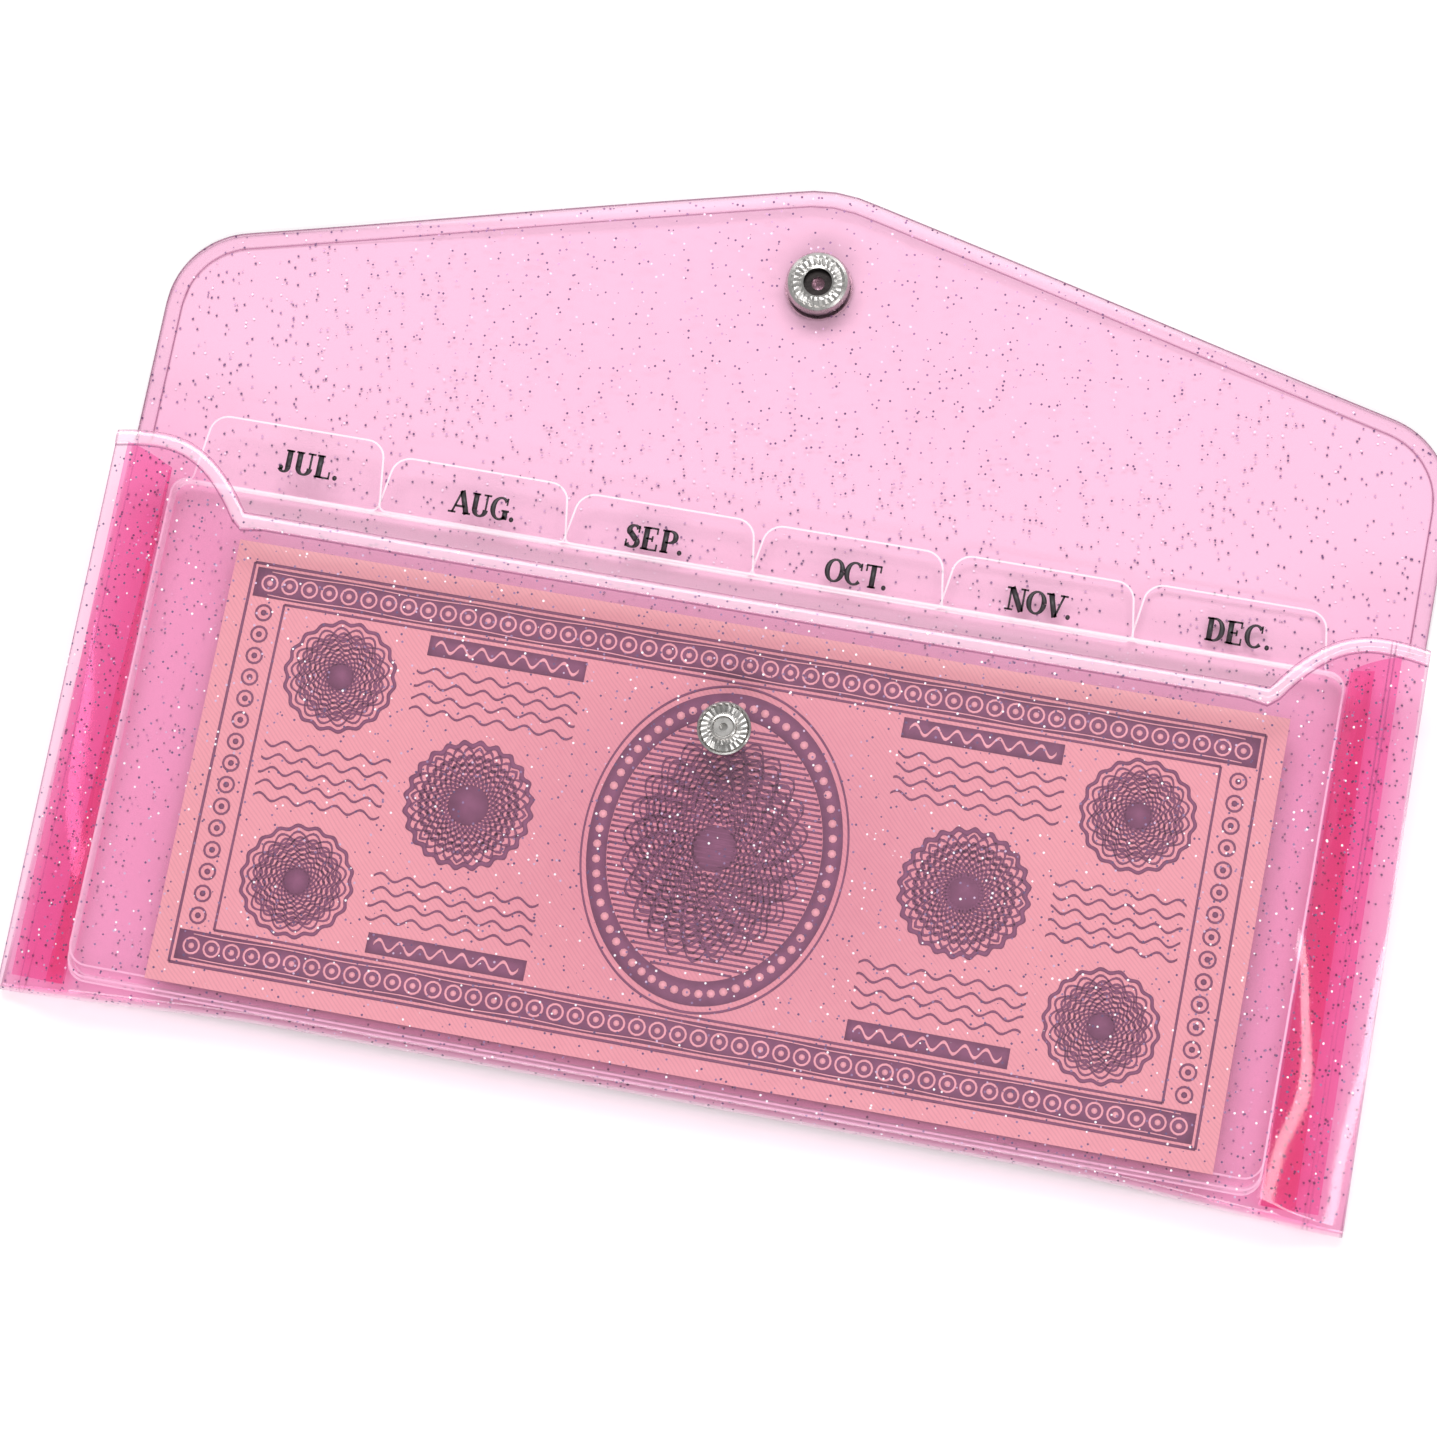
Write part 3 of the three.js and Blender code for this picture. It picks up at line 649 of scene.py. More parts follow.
def sheet_rows(sizes):
    """For each row, a function from a column to its outer and inner places, seam and pale share."""

    def turn_of(x):
        return lerp(BOTTOM_TURN, CORNER_DEPTH / 2, side_slope(x, 0))

    def turn_centre(x):
        return bottom_edge(x) + turn_of(x)

    def side_marks(u, distance, y):
        side = 1 if u > 0 else -1
        seam = max(line_at(distance, weld, WELD_HALF) for weld in SIDE_WELDS[side])
        seam *= 0.45 if side < 0 else lerp(0.25, 1.0, smoothstep(y, 38, 66))
        edge = line_at(distance, 0.0, EDGE_HALF) * 0.5
        haze = 0.12 * (1 - smoothstep(distance, 2.5, 3.4)) if distance < 4 else 0
        return max(seam * 0.85, edge), haze

    def front(inset=None, t=None):
        def place(u, distance):
            if inset is not None:
                y = mouth_line(u * HALF_MOUTH, inset)
                rise = rim_rise(inset, sizes)
                seam, pale = rim_marks(inset)
            else:
                top = mouth_line(u * HALF_MOUTH, RIM_STEPS[-1])
                y = lerp(top, turn_centre(u * HALF_BOTTOM), t)
                rise = 0
                seam, pale = 0, 0
            x = u * half_width(y)
            z = front_face(x, y) + film_wave(x, y)
            side_seam, side_pale = side_marks(u, distance, y)
            seam, pale = max(seam, side_seam), max(pale, side_pale)
            return (x, y, z + rise), (x, y, z - FILM - rise * 0.5), seam, pale

        return place

    def wrap(angle):
        def place(u, distance):
            base = u * HALF_BOTTOM
            power = 2 / lerp(BOTTOM_SQUARENESS, 2, side_slope(base, 0))
            across = max(math.cos(math.radians(angle)), 0) ** power
            sine = math.sin(math.radians(angle))
            up = math.copysign(abs(sine) ** power, sine)
            centre = turn_centre(base)
            x = u * half_width(centre)
            depth = front_face(x, centre)
            places = [
                (x, centre - (turn_of(base) - skin) * across, depth / 2 + (depth / 2 - skin) * up)
                for skin in (0, FILM)
            ]
            seam, pale = side_marks(u, distance, 0)
            return places[0], places[1], seam, pale

        return place

    def back(t):
        def place(u, distance):
            y = lerp(turn_centre(u * HALF_BOTTOM), FOLD_Y, t)
            x = u * half_width(min(y, EAR_HEIGHT))
            return (x, y, 0), (x, y, FILM), 0, 0

        return place

    def flap(t=None, inset=None):
        def place(u, distance):
            x = u * HALF_FLAP
            if inset is None:
                y = lerp(FOLD_Y, flap_line(x, RIM_STEPS[-1]), t)
                reach = distance
            else:
                y = flap_line(x, inset)
                reach = min(distance, inset)
            z = flap_under(x, y)
            rise = rim_rise(reach, sizes)
            seam, pale = rim_marks(reach)
            return (x, y, z), (x, y, z + FILM + rise), seam, pale

        return place

    rows = [front(inset=inset) for inset in RIM_STEPS]
    rows += [front(t=t) for t in spread(0, 1, FRONT_STEPS)[1:]]
    rows += [wrap(angle) for angle in spread(90, -90, TURN_STEPS)[1:]]
    rows += [back(t) for t in spread(0, 1, BACK_STEPS)[1:]]
    rows += [flap(t=t) for t in spread(0, 1, FLAP_STEPS)[1:]]
    rows += [flap(inset=inset) for inset in reversed(RIM_STEPS[:-1])]
    return rows


def build_body_sheet(sizes, materials):
    """The folded sheet as one skin: front, bottom turn, back and flap."""
    columns = sheet_columns()
    rows = sheet_rows(sizes)
    bm, across, along, wall = double_grid(len(columns) - 1, len(rows) - 1)
    seam_layer = bm.verts.layers.float.new("seam")
    pale_layer = bm.verts.layers.float.new("pale")
    for vert in bm.verts:
        u, distance = columns[vert[across]]
        outer, inner, seam, pale = rows[vert[along]](u, distance)
        vert.co = at(*(inner if vert[wall] else outer))
        vert[seam_layer] = seam
        vert[pale_layer] = pale
    mark_inner(bm, wall)
    drop_layers(bm)
    bmesh.ops.recalc_face_normals(bm, faces=bm.faces[:])
    return keep(bm, "glitter_sheet", materials, ["body_sheet"])


def build_gusset(name, materials):
    """A film folded inwards in a V, from the front's weld to the crease and out to the back's weld."""
    side, crease, front_inset, back_inset = CREASES[name]
    bm, across, along, wall = double_grid(GUSSET_COLUMNS, GUSSET_ROWS)
    for vert in bm.verts:
        t = vert[along] / GUSSET_ROWS
        y = lerp(GUSSET_FOOT, EAR_HEIGHT, t)
        edge = half_width(y)
        leaf = 2 * vert[across] / GUSSET_COLUMNS - 1
        inset = front_inset if leaf < 0 else back_inset
        share = 1 - abs(leaf) ** GUSSET_BOW
        x = lerp(edge - inset, crease, share)
        top = front_face(edge - front_inset, y) - FILM - GUSSET_GAP
        low = FILM + GUSSET_GAP
        middle = (top + low) / 2
        z = lerp(top if leaf < 0 else low, middle, share**GUSSET_PINCH)
        skin = GUSSET_FILM / 2 * (1 if vert[wall] else -1)
        reach = clamp((HALF_MOUTH - x) / (HALF_MOUTH - crease))
        dip = GUSSET_TOP_DIP * reach
        height = lerp(GUSSET_FOOT, mouth_edge(x) - GUSSET_UNDER_MOUTH - dip, t)
        height = min(height, lerp(GUSSET_FOOT, EAR_HEIGHT - GUSSET_UNDER_EAR - dip, t))
        crease_push = skin if share > 0.9 else 0
        leaf_push = skin if leaf < 0 else -skin
        vert.co = at(side * (x + crease_push), height, z + skin * (1 - share) + leaf_push * 0.4)
    mark_inner(bm, wall)
    drop_layers(bm)
    bmesh.ops.remove_doubles(bm, verts=bm.verts[:], dist=1e-7)
    bmesh.ops.recalc_face_normals(bm, faces=bm.faces[:])
    return keep(bm, name + "_film", materials, [name])


def build_divider(index, materials):
    """A frosted sheet with round corners, a tab on its top edge and a whiter cut edge, whose white is a
    painted glow of light piped out at the edge.
    """
    name = DIVIDER_NAMES[index]
    low = DIVIDER_FOOT + DIVIDER_LIFTS[index]
    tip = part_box(name)[1][1] / MM + FRAME_Y
    left = DIVIDER_LEFT + TAB_MARGIN + index * TAB_PITCH
    right = left + TAB_BASE
    base = DIVIDER_LOWEST + (len(MONTHS) - 1 - index) * DIVIDER_PITCH
    outline = [
        (DIVIDER_LEFT, low), (DIVIDER_RIGHT, low), (DIVIDER_RIGHT, DIVIDER_TOP), (right, DIVIDER_TOP),
        (right - TAB_FLARE, tip), (left + TAB_FLARE, tip), (left, DIVIDER_TOP), (DIVIDER_LEFT, DIVIDER_TOP),
    ]
    bm = bmesh.new()
    corners = [bm.verts.new(at(x, y, base)) for x, y in outline]
    bm.faces.new(corners)
    rounds = (([0, 1], DIVIDER_CORNER), ([2, 7, 4, 5], TAB_CORNER), ([3, 6], TAB_ROOT_CORNER))
    for picked, radius in rounds:
        bmesh.ops.bevel(
            bm,
            geom=[corners[i] for i in picked],
            affect="VERTICES",
            offset=radius * MM,
            segments=CORNER_STEPS,
            profile=0.5,
            material=-1,
        )
    bmesh.ops.recalc_face_normals(bm, faces=bm.faces[:])
    # The outline band gets the edge material, with its painted edge glow
    edge = bmesh.ops.inset_region(bm, faces=bm.faces[:], thickness=DIVIDER_OUTLINE * MM, use_boundary=True)
    for face in edge["faces"]:
        face.material_index = 1
    grown = bmesh.ops.extrude_face_region(bm, geom=bm.faces[:])
    for item in grown["geom"]:
        if isinstance(item, bmesh.types.BMVert):
            item.co.z += DIVIDER_FILM * MM
    for face in bm.faces:
        if all(vert.co.z < (base + DIVIDER_FILM / 2) * MM for vert in face.verts):
            face.material_index = 2
    bmesh.ops.recalc_face_normals(bm, faces=bm.faces[:])
    return keep(bm, name + "_sheet", materials, [name])


# Widths of a letter's strokes and reach of its serifs, with the letter's height as 1
THICK = 0.26
THIN = 0.1
SERIF = 0.085
SERIF_REACH = 0.19
# Letters from strokes. Bars: both ends and width. Bows: centre, radii and angles. Dots: centre and radius
STEMS = {"L": 0.2, "E": 0.2, "P": 0.2, "D": 0.2}
SERIFS = {
    "J": ((0.38, 1),), "U": ((0.2, 1), (0.74, 1)), "A": ((0.08, 0), (0.8, 0)), "T": ((0.4, 0),),
    "N": ((0.14, 1), (0.14, 0), (0.78, 1)), "V": ((0.12, 1), (0.78, 1)), "G": ((0.72, 0.42),),
}
BARS = {
    "J": ((0.38, 0.25, 0.38, 1, THICK),),
    "U": ((0.2, 0.3, 0.2, 1, THICK), (0.74, 0.3, 0.74, 1, THIN)),
    "L": ((0.2, 0.035, 0.72, 0.035, SERIF), (0.7, 0, 0.7, 0.32, SERIF)),
    "A": ((0.08, 0, 0.42, 1, THIN), (0.42, 1, 0.8, 0, THICK), (0.2, 0.32, 0.66, 0.32, THIN)),
    "G": ((0.72, 0.04, 0.72, 0.42, THICK), (0.76, 0.66, 0.76, 0.98, SERIF)),
    "C": ((0.76, 0.66, 0.76, 0.98, SERIF),),
    "S": ((0.2, 0.66, 0.52, 0.36, THICK), (0.6, 0.68, 0.6, 0.98, SERIF), (0.08, 0.02, 0.08, 0.34, SERIF)),
    "E": (
        (0.2, 0.965, 0.7, 0.965, SERIF), (0.2, 0.5, 0.5, 0.5, SERIF), (0.2, 0.035, 0.74, 0.035, SERIF),
        (0.69, 0.72, 0.69, 1, SERIF), (0.5, 0.38, 0.5, 0.63, SERIF), (0.73, 0, 0.73, 0.3, SERIF),
    ),
    "P": ((0.2, 0.965, 0.38, 0.965, SERIF), (0.2, 0.46, 0.38, 0.46, SERIF)),
    "T": (
        (0.4, 0, 0.4, 1, THICK), (0.04, 0.965, 0.76, 0.965, SERIF),
        (0.06, 0.7, 0.06, 1, SERIF), (0.74, 0.7, 0.74, 1, SERIF),
    ),
    "N": ((0.14, 0, 0.14, 1, THIN), (0.18, 1, 0.74, 0, THICK), (0.78, 0, 0.78, 1, THIN)),
    "V": ((0.14, 1, 0.45, 0, THICK), (0.45, 0, 0.78, 1, THIN)),
    "D": ((0.2, 0.965, 0.38, 0.965, SERIF), (0.2, 0.035, 0.38, 0.035, SERIF)),
}
BOWS = {
    "J": ((0.2, 0.25, 0.18, 0.22, 0, -160),),
    "U": ((0.47, 0.32, 0.27, 0.29, 180, 360),),
    "G": ((0.46, 0.5, 0.36, 0.465, 42, 318),),
    "C": ((0.46, 0.5, 0.36, 0.465, 42, 318),),
    "S": ((0.37, 0.74, 0.22, 0.225, 25, 215), (0.34, 0.26, 0.25, 0.225, 35, -155)),
    "P": ((0.38, 0.715, 0.27, 0.25, 90, -90),),
    "O": ((0.46, 0.5, 0.36, 0.465, 0, 360),),
    "D": ((0.38, 0.5, 0.38, 0.465, 90, -90),),
}
DOTS = {"J": (0.07, 0.2, 0.1), ".": (0.13, 0.1, 0.11)}
BOW_STEPS = 24
PLAIN_ADVANCE = 0.95
ADVANCE = {"J": 0.66, "U": 0.98, "S": 0.76, "P": 0.8, "T": 0.86, "L": 0.86, "E": 0.9, ".": 0.26}


def stroke(bm, places, widths):
    """A flat stroke through places, with its width at each of them."""
    steps = len(places) - 1
    made = bmesh.ops.create_grid(bm, x_segments=steps, y_segments=1, size=1.0)
    for vert in made["verts"]:
        step = round((vert.co.x + 1) / 2 * steps)
        before, after = places[max(step - 1, 0)], places[min(step + 1, steps)]
        run = Vector((after[0] - before[0], after[1] - before[1], 0)).normalized()
        side = Vector((-run.y, run.x, 0)) * vert.co.y * widths[step] / 2
        vert.co = Vector((places[step][0], places[step][1], 0)) + side


def draw_letter(bm, letter, left):
    """Draws one letter at a distance from the line's start and returns its advance."""
    bars = list(BARS.get(letter, ()))
    ends = list(SERIFS.get(letter, ()))
    if letter in STEMS:
        stem = STEMS[letter]
        bars.append((stem, 0, stem, 1, THICK))
        ends += [(stem, 0), (stem, 1)]
    for x, y in ends:
        line = min(max(y, SERIF / 2), 1 - SERIF / 2)
        bars.append((x - SERIF_REACH, line, x + SERIF_REACH, line, SERIF))
    for x, y, x_end, y_end, width in bars:
        stroke(bm, [(left + x, y), (left + x_end, y_end)], [width, width])
    for x, y, wide, high, start, end in BOWS.get(letter, ()):
        angles = [math.radians(angle) for angle in spread(start, end, BOW_STEPS)]
        places = [(left + x + wide * math.cos(a), y + high * math.sin(a)) for a in angles]
        stroke(bm, places, [lerp(THIN, THICK, math.cos(a) ** 2) for a in angles])
    if letter in DOTS:
        x, y, radius = DOTS[letter]
        made = bmesh.ops.create_circle(bm, cap_ends=True, segments=16, radius=radius)
        bmesh.ops.translate(bm, verts=made["verts"], vec=(left + x, y, 0))
    return ADVANCE.get(letter, PLAIN_ADVANCE)


def build_letters(material):
    """The months' short names on the tabs, in bold letters with serifs."""
    sheet = bmesh.new()
    height = bpy.context.scene.wallet_sizes.letter_height / MM
    for index, month in enumerate(MONTHS):
        bm = bmesh.new()
        reach = 0
        for letter in month:
            reach += draw_letter(bm, letter, reach)
        xs = [vert.co.x for vert in bm.verts]
        left, right = LABEL_LEFTS[index] + NOTE_CENTRE[0], LABEL_RIGHTS[index] + NOTE_CENTRE[0]
        low = DIVIDER_FOOT + DIVIDER_LIFTS[index] + DIVIDER_HEIGHT + LABEL_RISE
        top = DIVIDER_LOWEST + (len(MONTHS) - 1 - index) * DIVIDER_PITCH + DIVIDER_FILM
        for vert in bm.verts:
            share = (vert.co.x - min(xs)) / (max(xs) - min(xs))
            vert.co = at(lerp(left, right, share), low + height * vert.co.y, top + INK_LIFT)
        word = bpy.data.meshes.new("word")
        bm.to_mesh(word)
        bm.free()
        sheet.from_mesh(word)
        bpy.data.meshes.remove(word)
    return keep_print(sheet, "month_letters", material)


def keep_print(bm, name, material):
    """Turns a flat print face up, gives it the thickness of ink and keeps it."""
    for face in bm.faces:
        face.normal_update()
        if face.normal.z < 0:
            face.normal_flip()
    piece = keep(bm, name, [material])
    wall = piece.modifiers.new("wall", "SOLIDIFY")
    wall.thickness = INK_THICKNESS * MM
    wall.offset = 1.0
    return piece


def note_height(x, y):
    """Upper face of the slightly wavy note at a place given from its centre, in mm."""
    return NOTE_TOP + 0.12 * math.sin(x / 19.0) * math.cos(y / 17.0) + 0.1 * math.sin(x / 34.0 + 1.0)


def on_note(x, y, lift):
    """A place over the note, given from its centre."""
    return at(x + NOTE_CENTRE[0], y + NOTE_CENTRE[1], note_height(x, y) + lift)


def build_note(material):
    """The paper note as one thin, slightly wavy sheet."""
    bm, across, along, wall = double_grid(NOTE_COLUMNS, NOTE_ROWS)
    for vert in bm.verts:
        x = lerp(-NOTE_HALF[0], NOTE_HALF[0], vert[across] / NOTE_COLUMNS)
        y = lerp(-NOTE_HALF[1], NOTE_HALF[1], vert[along] / NOTE_ROWS)
        vert.co = on_note(x, y, 0 if vert[wall] else -NOTE_THICKNESS)
    drop_layers(bm)
    bmesh.ops.recalc_face_normals(bm, faces=bm.faces[:])
    return keep(bm, "paper_sheet", [material], ["paper_note"])


def print_ring(bm, centre, radius, width, stretch=(1, 1), lobes=0, swing=0.0, turn=0.0, segments=96):
    """A flat ring, or a lobed one where it swings."""
    made = bmesh.ops.create_circle(bm, segments=segments, radius=1.0)
    inner = made["verts"]
    edges = list({edge for vert in inner for edge in vert.link_edges})
    grown = bmesh.ops.extrude_edge_only(bm, edges=edges)
    outer = [item for item in grown["geom"] if isinstance(item, bmesh.types.BMVert)]
    for verts, side in ((inner, -0.5), (outer, 0.5)):
        for vert in verts:
            angle = math.atan2(vert.co.y, vert.co.x)
            reach = radius * (1 + swing * math.cos(lobes * angle + turn)) + side * width
            vert.co = (
                centre[0] + reach * stretch[0] * math.cos(angle),
                centre[1] + reach * stretch[1] * math.sin(angle),
                0,
            )


def print_strip(bm, start, end, width, steps=40, swing=0.0, waves=0.0, phase=0.0):
    """A flat strip between two places, or a wavy one where it swings."""
    made = bmesh.ops.create_grid(bm, x_segments=steps, y_segments=1, size=1.0)
    run = Vector((end[0] - start[0], end[1] - start[1], 0))
    normal = Vector((-run.y, run.x, 0)).normalized()
    for vert in made["verts"]:
        t = (vert.co.x + 1) / 2
        off = vert.co.y * width / 2 + swing * math.sin(2 * math.pi * waves * t + phase)
        vert.co = Vector((start[0], start[1], 0)) + run * t + normal * off


def print_frame(bm, inset, width):
    """Four strips at a distance inside the note's edge."""
    x, y = NOTE_HALF[0] - inset, NOTE_HALF[1] - inset
    for start, end in (((-x, -y), (x, -y)), ((-x, y), (x, y)), ((-x, -y), (-x, y)), ((x, -y), (x, y))):
        print_strip(bm, start, end, width)


def print_disc(bm, centre, radius, segments):
    """A flat round spot."""
    made = bmesh.ops.create_circle(bm, cap_ends=True, segments=segments, radius=radius)
    bmesh.ops.translate(bm, verts=made["verts"], vec=(centre[0], centre[1], 0))


def print_rosette(bm, centre, radius, lobes, rings, stretch=(1, 1), width=0.22):
    """Woven line work: lobed rings that cross one another."""
    for step in range(rings):
        share = 1 - 0.78 * step / rings
        for turn in (0.0, math.pi):
            print_ring(bm, centre, radius * share, width, stretch, lobes, 0.11, turn + step * 0.5)


def print_beads(bm, lines):
    """Ringed beads along straight lines of the border."""
    for start, end, count in lines:
        for step in range(count + 1):
            spot = (lerp(start[0], end[0], step / count), lerp(start[1], end[1], step / count))
            print_ring(bm, spot, 1.15, 0.32, segments=14)
            print_disc(bm, spot, 0.45, 8)


def build_print(dark_material, light_material):
    """Generic ornament of the note: bead borders, woven rosettes, an oval medallion and wavy bands."""
    dark, light = bmesh.new(), bmesh.new()
    for inset, width in FRAMES:
        print_frame(dark, inset, width)
    x_edge, y_edge = NOTE_HALF[0] - BORDER_INSET, NOTE_HALF[1] - BORDER_INSET
    for y in (-y_edge, y_edge):
        print_strip(dark, (-x_edge - BAND_HALF, y), (x_edge + BAND_HALF, y), 2 * BAND_HALF, NOTE_COLUMNS)
        for line in (y + BAND_LINE, y - BAND_LINE):
            print_strip(light, (-x_edge, line), (x_edge, line), 0.16, NOTE_COLUMNS, 0.12, 70)
    print_beads(light, [((-x_edge, y), (x_edge, y), 48) for y in (-y_edge, y_edge)])
    print_beads(dark, [((x, -y_edge + 4.5), (x, y_edge - 4.5), 14) for x in (-x_edge, x_edge)])
    for radius, width in ((MEDALLION_RADIUS, 3.6), (24.0, 0.35)):
        print_ring(dark, (0, 0), radius, width, MEDALLION_STRETCH, segments=128)
    narrow = MEDALLION_STRETCH[0]
    for step in range(MEDALLION_DOTS):
        angle = 2 * math.pi * step / MEDALLION_DOTS
        spot = (MEDALLION_RADIUS * narrow * math.cos(angle), MEDALLION_RADIUS * math.sin(angle))
        print_disc(light, spot, 0.62, 8)
    for y in spread(-HATCH_HALF, HATCH_HALF, HATCH_STEPS)[1:-1]:
        reach = narrow * math.sqrt(max(HATCH_RADIUS**2 - y**2, 0))
        print_strip(dark, (-reach, y), (reach, y), SCRIPT_LINE, 24)
    print_rosette(dark, (0, 0), 15.0, 12, 12, MEDALLION_STRETCH, 0.42)
    print_disc(dark, (0, 0), 3.4, 28)
    for side in (-1, 1):
        for end in (-1, 1):
            centre = (side * CORNER_ROSETTE[0], end * CORNER_ROSETTE[1])
            print_rosette(dark, centre, 6.6, 9, 7, width=0.34)
            print_disc(dark, centre, 2.0, 18)
            print_ring(dark, centre, 8.0, 0.55, lobes=18, swing=0.03, segments=144)
            y = end * BANNER_Y
            print_strip(dark, (side * 23.5, y), (side * 47.0, y), 3.0, 24)
            print_strip(light, (side * 24.5, y), (side * 46.0, y), 0.5, 70, 0.75, 7)
        centre = (side * SIDE_ROSETTE_X, 0)
        print_rosette(dark, centre, 7.6, 16, 6, width=0.5)
        print_ring(dark, centre, 9.0, 0.8, lobes=24, swing=0.035, segments=192)
        print_disc(dark, centre, 3.0, 24)
        for row in range(4):
            for end in (-1, 1):
                y = end * (12.5 + row * 2.0)
                print_strip(dark, (side * 23.5, y), (side * 48.0, y), SCRIPT_LINE, 60, 0.5, 6, row * 0.9)
        for row in range(5):
            y = (row - 2) * 2.0
            print_strip(dark, (side * 49.0, y), (side * 68.0, y), SCRIPT_LINE, 50, 0.5, 5, row * 0.9)
    for bm, lift in ((dark, INK_LIFT), (light, LIGHT_INK_LIFT)):
        for vert in bm.verts:
            vert.co = on_note(vert.co.x, vert.co.y, lift)
    keep_print(dark, "note_ornament", dark_material)
    keep_print(light, "note_highlights", light_material)


# What a user may change
class WalletSizes(bpy.types.PropertyGroup):
    """Sizes of the wallet's pieces."""

    rim_width: FloatProperty(
        name="Rim width", description="Width of the rolled rim", default=2.3 * MM, min=0, unit="LENGTH"
    )
    rim_rise: FloatProperty(
        name="Rim height",
        description="Height of the rim over the film",
        default=0.5 * MM,
        min=0,
        unit="LENGTH",
    )
    fleck_pitch: FloatProperty(
        name="Glitter spacing",
        description="Size of the cell that holds one fleck",
        default=1.05 * MM,
        min=0.1 * MM,
        unit="LENGTH",
    )
    fleck_radius: FloatProperty(
        name="Glitter size", description="Radius of a fleck", default=0.175 * MM, min=0, unit="LENGTH"
    )
    letter_height: FloatProperty(
        name="Letter height",
        description="Height of the month names",
        default=3.5 * MM,
        min=0,
        unit="LENGTH",
    )


def colour_property(name, description, default):
    """A colour that a user may change."""
    return FloatVectorProperty(
        name=name, description=description, default=default, subtype="COLOR", size=3, min=0, max=1
    )


class WalletColours(bpy.types.PropertyGroup):
    """Colours of the wallet's finishes."""

    film: colour_property("Film", "What one face of the film lets through", (1.0, 0.862, 0.930))
    gusset: colour_property("Gusset", "What one face of a gusset lets through", (1.0, 0.70, 0.86))
    haze: colour_property("Haze", "Milky share of the film", (0.98, 0.78, 0.88))
    seam: colour_property("Seam", "Weld and rim lines", (0.24, 0.03, 0.14))
    frost: colour_property("Frost", "What one face of a divider lets through", (1.0, 0.998, 0.999))
    paper: colour_property("Paper", "Paper at the note's ends", (0.77, 0.53, 0.47))
    paper_middle: colour_property("Paper middle", "Paper in the note's middle", (0.66, 0.40, 0.40))
    ink: colour_property("Ink", "Print on the note", (0.156, 0.087, 0.135))
    letters: colour_property("Letters", "Print on the tabs", (0.012, 0.008, 0.012))
    nickel: colour_property("Nickel", "Plating of the snap", (0.66, 0.64, 0.62))


class WALLET_OT_body_sheet(bpy.types.Operator):
    """Build the folded glitter sheet with its rim, pouch and flap"""

    bl_idname = "wallet.body_sheet"
    bl_label = "Body sheet"

    def execute(self, context):
        scene = context.scene
        colours = scene.wallet_colours
        materials = [
            vinyl_material("glitter_vinyl", scene.wallet_sizes, colours, colours.film, True),
            clear_material("vinyl_inner_wall", colours.film),
        ]
        build_body_sheet(scene.wallet_sizes, materials)
        return {"FINISHED"}


class WALLET_OT_gussets(bpy.types.Operator):
    """Build the two folded side films"""

    bl_idname = "wallet.gussets"
    bl_label = "Side gussets"

    def execute(self, context):
        scene = context.scene
        colours = scene.wallet_colours
        materials = [
            vinyl_material("gusset_vinyl", scene.wallet_sizes, colours, colours.gusset, False),
            clear_material("gusset_inner_wall", colours.gusset),
        ]
        for name in CREASES:
            build_gusset(name, materials)
        return {"FINISHED"}


class WALLET_OT_dividers(bpy.types.Operator):
    """Build the six frosted dividers with their tabs"""

    bl_idname = "wallet.dividers"
    bl_label = "Month dividers"

    def execute(self, context):
        colours = context.scene.wallet_colours
        materials = [
            frosted_material("frosted_sheet", colours, SHEET_MILK),
            # The cut edges' material, whose white is a painted edge glow
            frosted_material("frosted_edge_glow", colours, EDGE_GLOW_MILK),
            clear_material("frosted_underside", colours.frost),
        ]
        for index in range(len(MONTHS)):
            build_divider(index, materials)
        return {"FINISHED"}


class WALLET_OT_letters(bpy.types.Operator):
    """Print the months' short names on the tabs"""

    bl_idname = "wallet.letters"
    bl_label = "Month names"

    def execute(self, context):
        build_letters(ink_material("tab_print", tuple(context.scene.wallet_colours.letters), 0.45))
        return {"FINISHED"}


class WALLET_OT_note(bpy.types.Operator):
    """Build the paper note and its ornament"""

    bl_idname = "wallet.note"
    bl_label = "Paper note"

    def execute(self, context):
        colours = context.scene.wallet_colours
        build_note(paper_material("note_paper", colours))
        light_ink = tuple(part * 0.9 for part in colours.paper)
        dark_material = ink_material("note_ink", tuple(colours.ink), 0.7)
        build_print(dark_material, ink_material("note_light_ink", light_ink, 0.7))
        return {"FINISHED"}


class WALLET_OT_snap(bpy.types.Operator):
    """Plate the snap's metal pieces"""

    bl_idname = "wallet.snap"
    bl_label = "Snap"

    def execute(self, context):
        nickel = tuple(context.scene.wallet_colours.nickel)
        wire = tuple(part * 0.8 for part in nickel)
        # Recesses get painted shade: each metal goes from dark to bright between two heights in mm
        metals = {
            "snap_socket": metal_material("nickel_socket", nickel, 0.28, 2.3, 3.3),
            "snap_cap": metal_material("nickel_cap", nickel, 0.28, 2.4, 1.4),
            "snap_stud": metal_material("nickel_stud", nickel, 0.28, 10.4, 11.4),
            "stud_rivet": metal_material("nickel_rivet", nickel, 0.28, 8.0, 9.4),
            "socket_spring": metal_material("spring_steel", wire, 0.25, 2.5, 2.9),
        }
        for name, metal in metals.items():
            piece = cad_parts[name]
            piece.data.materials.clear()
            piece.data.materials.append(metal)
        return {"FINISHED"}


def area_light(name, place, size, power):
    """A soft white panel that faces the wallet."""
    light = bpy.data.lights.new(name, "AREA")
    light.shape = "RECTANGLE"
    light.size, light.size_y = size
    light.energy = power
    lamp = bpy.data.objects.new(name, light)
    lamp.location = place
    lamp.rotation_euler = (-Vector(place)).to_track_quat("-Z", "Y").to_euler()
    bpy.context.scene.collection.objects.link(lamp)


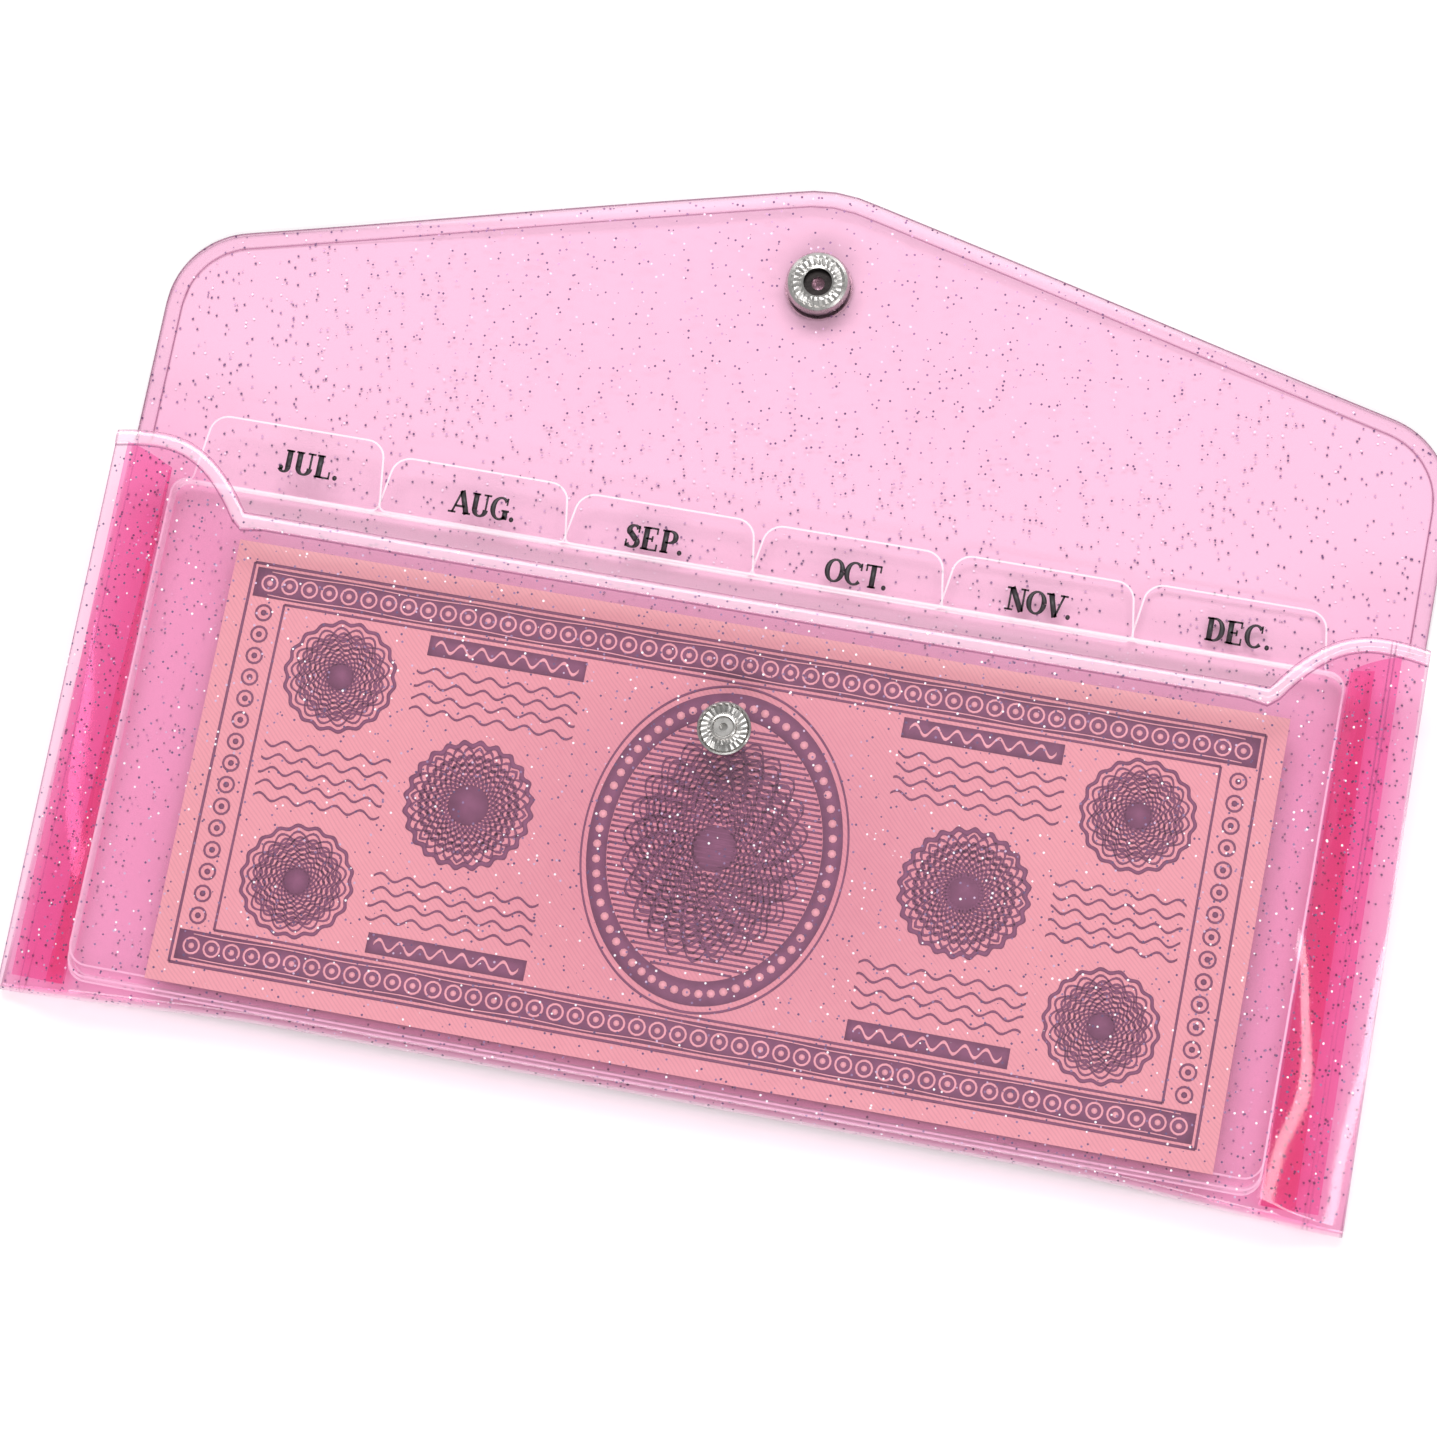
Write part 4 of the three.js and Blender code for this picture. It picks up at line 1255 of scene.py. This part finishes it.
class WALLET_OT_stage(bpy.types.Operator):
    """Build the floor, the soft lights and the camera"""

    bl_idname = "wallet.stage"
    bl_label = "Stage"

    def execute(self, context):
        scene = context.scene
        bm = bmesh.new()
        bmesh.ops.create_grid(bm, x_segments=1, y_segments=1, size=FLOOR_HALF)
        bmesh.ops.translate(bm, verts=bm.verts[:], vec=(0, 0, -FLOOR_DROP))
        mesh = bpy.data.meshes.new("floor")
        bm.to_mesh(mesh)
        bm.free()
        floor = bpy.data.objects.new("floor", mesh)
        made = new_material("white_table")
        shade = put(made.node_tree, "BsdfDiffuse", values={"Color": (0.9, 0.9, 0.9, 1)})
        show(made.node_tree, shade.outputs[0])
        mesh.materials.append(made)
        scene.collection.objects.link(floor)

        world = bpy.data.worlds.new("studio")
        world.use_nodes = True
        sky = world.node_tree.nodes["Background"]
        sky.inputs["Color"].default_value = (1, 1, 1, 1)
        sky.inputs["Strength"].default_value = SKY_STRENGTH
        scene.world = world
        for panel in PANELS:
            area_light(*panel)

        camera = bpy.data.cameras.new("camera")
        camera.lens = CAMERA_LENS
        camera.sensor_width = SENSOR_WIDTH
        camera.clip_start = CLIP_START
        holder = bpy.data.objects.new("camera", camera)
        holder.location = CAMERA_PLACE
        holder.rotation_euler = Euler(CAMERA_TURN)
        scene.collection.objects.link(holder)
        scene.camera = holder
        scene.view_settings.view_transform = "Standard"
        scene.cycles.transparent_max_bounces = 64
        scene.cycles.max_bounces = 4
        scene.cycles.diffuse_bounces = 2
        scene.cycles.glossy_bounces = 2
        scene.cycles.transmission_bounces = 2
        scene.cycles.caustics_reflective = False
        scene.cycles.caustics_refractive = False
        return {"FINISHED"}


class WALLET_PT_pieces(bpy.types.Panel):
    """Lists the wallet's pieces, sizes and colours"""

    bl_idname = "WALLET_PT_pieces"
    bl_label = "Wallet"
    bl_space_type = "VIEW_3D"
    bl_region_type = "UI"
    bl_category = "Wallet"

    def draw(self, context):
        for group in (context.scene.wallet_sizes, context.scene.wallet_colours):
            box = self.layout.box()
            for name in group.__annotations__:
                box.prop(group, name)
        for operator in OPERATORS:
            self.layout.operator(operator.bl_idname)


OPERATORS = (
    WALLET_OT_body_sheet,
    WALLET_OT_gussets,
    WALLET_OT_dividers,
    WALLET_OT_letters,
    WALLET_OT_note,
    WALLET_OT_snap,
    WALLET_OT_stage,
)
CLASSES = (WalletSizes, WalletColours) + OPERATORS + (WALLET_PT_pieces,)


def register():
    for made in CLASSES:
        bpy.utils.register_class(made)
    bpy.types.Scene.wallet_sizes = PointerProperty(type=WalletSizes)
    bpy.types.Scene.wallet_colours = PointerProperty(type=WalletColours)


def unregister():
    del bpy.types.Scene.wallet_colours
    del bpy.types.Scene.wallet_sizes
    for made in reversed(CLASSES):
        bpy.utils.unregister_class(made)


def main():
    register()
    bpy.ops.wallet.body_sheet()
    bpy.ops.wallet.gussets()
    bpy.ops.wallet.dividers()
    bpy.ops.wallet.letters()
    bpy.ops.wallet.note()
    bpy.ops.wallet.snap()
    bpy.ops.wallet.stage()


if __name__ == "__main__":
    main()
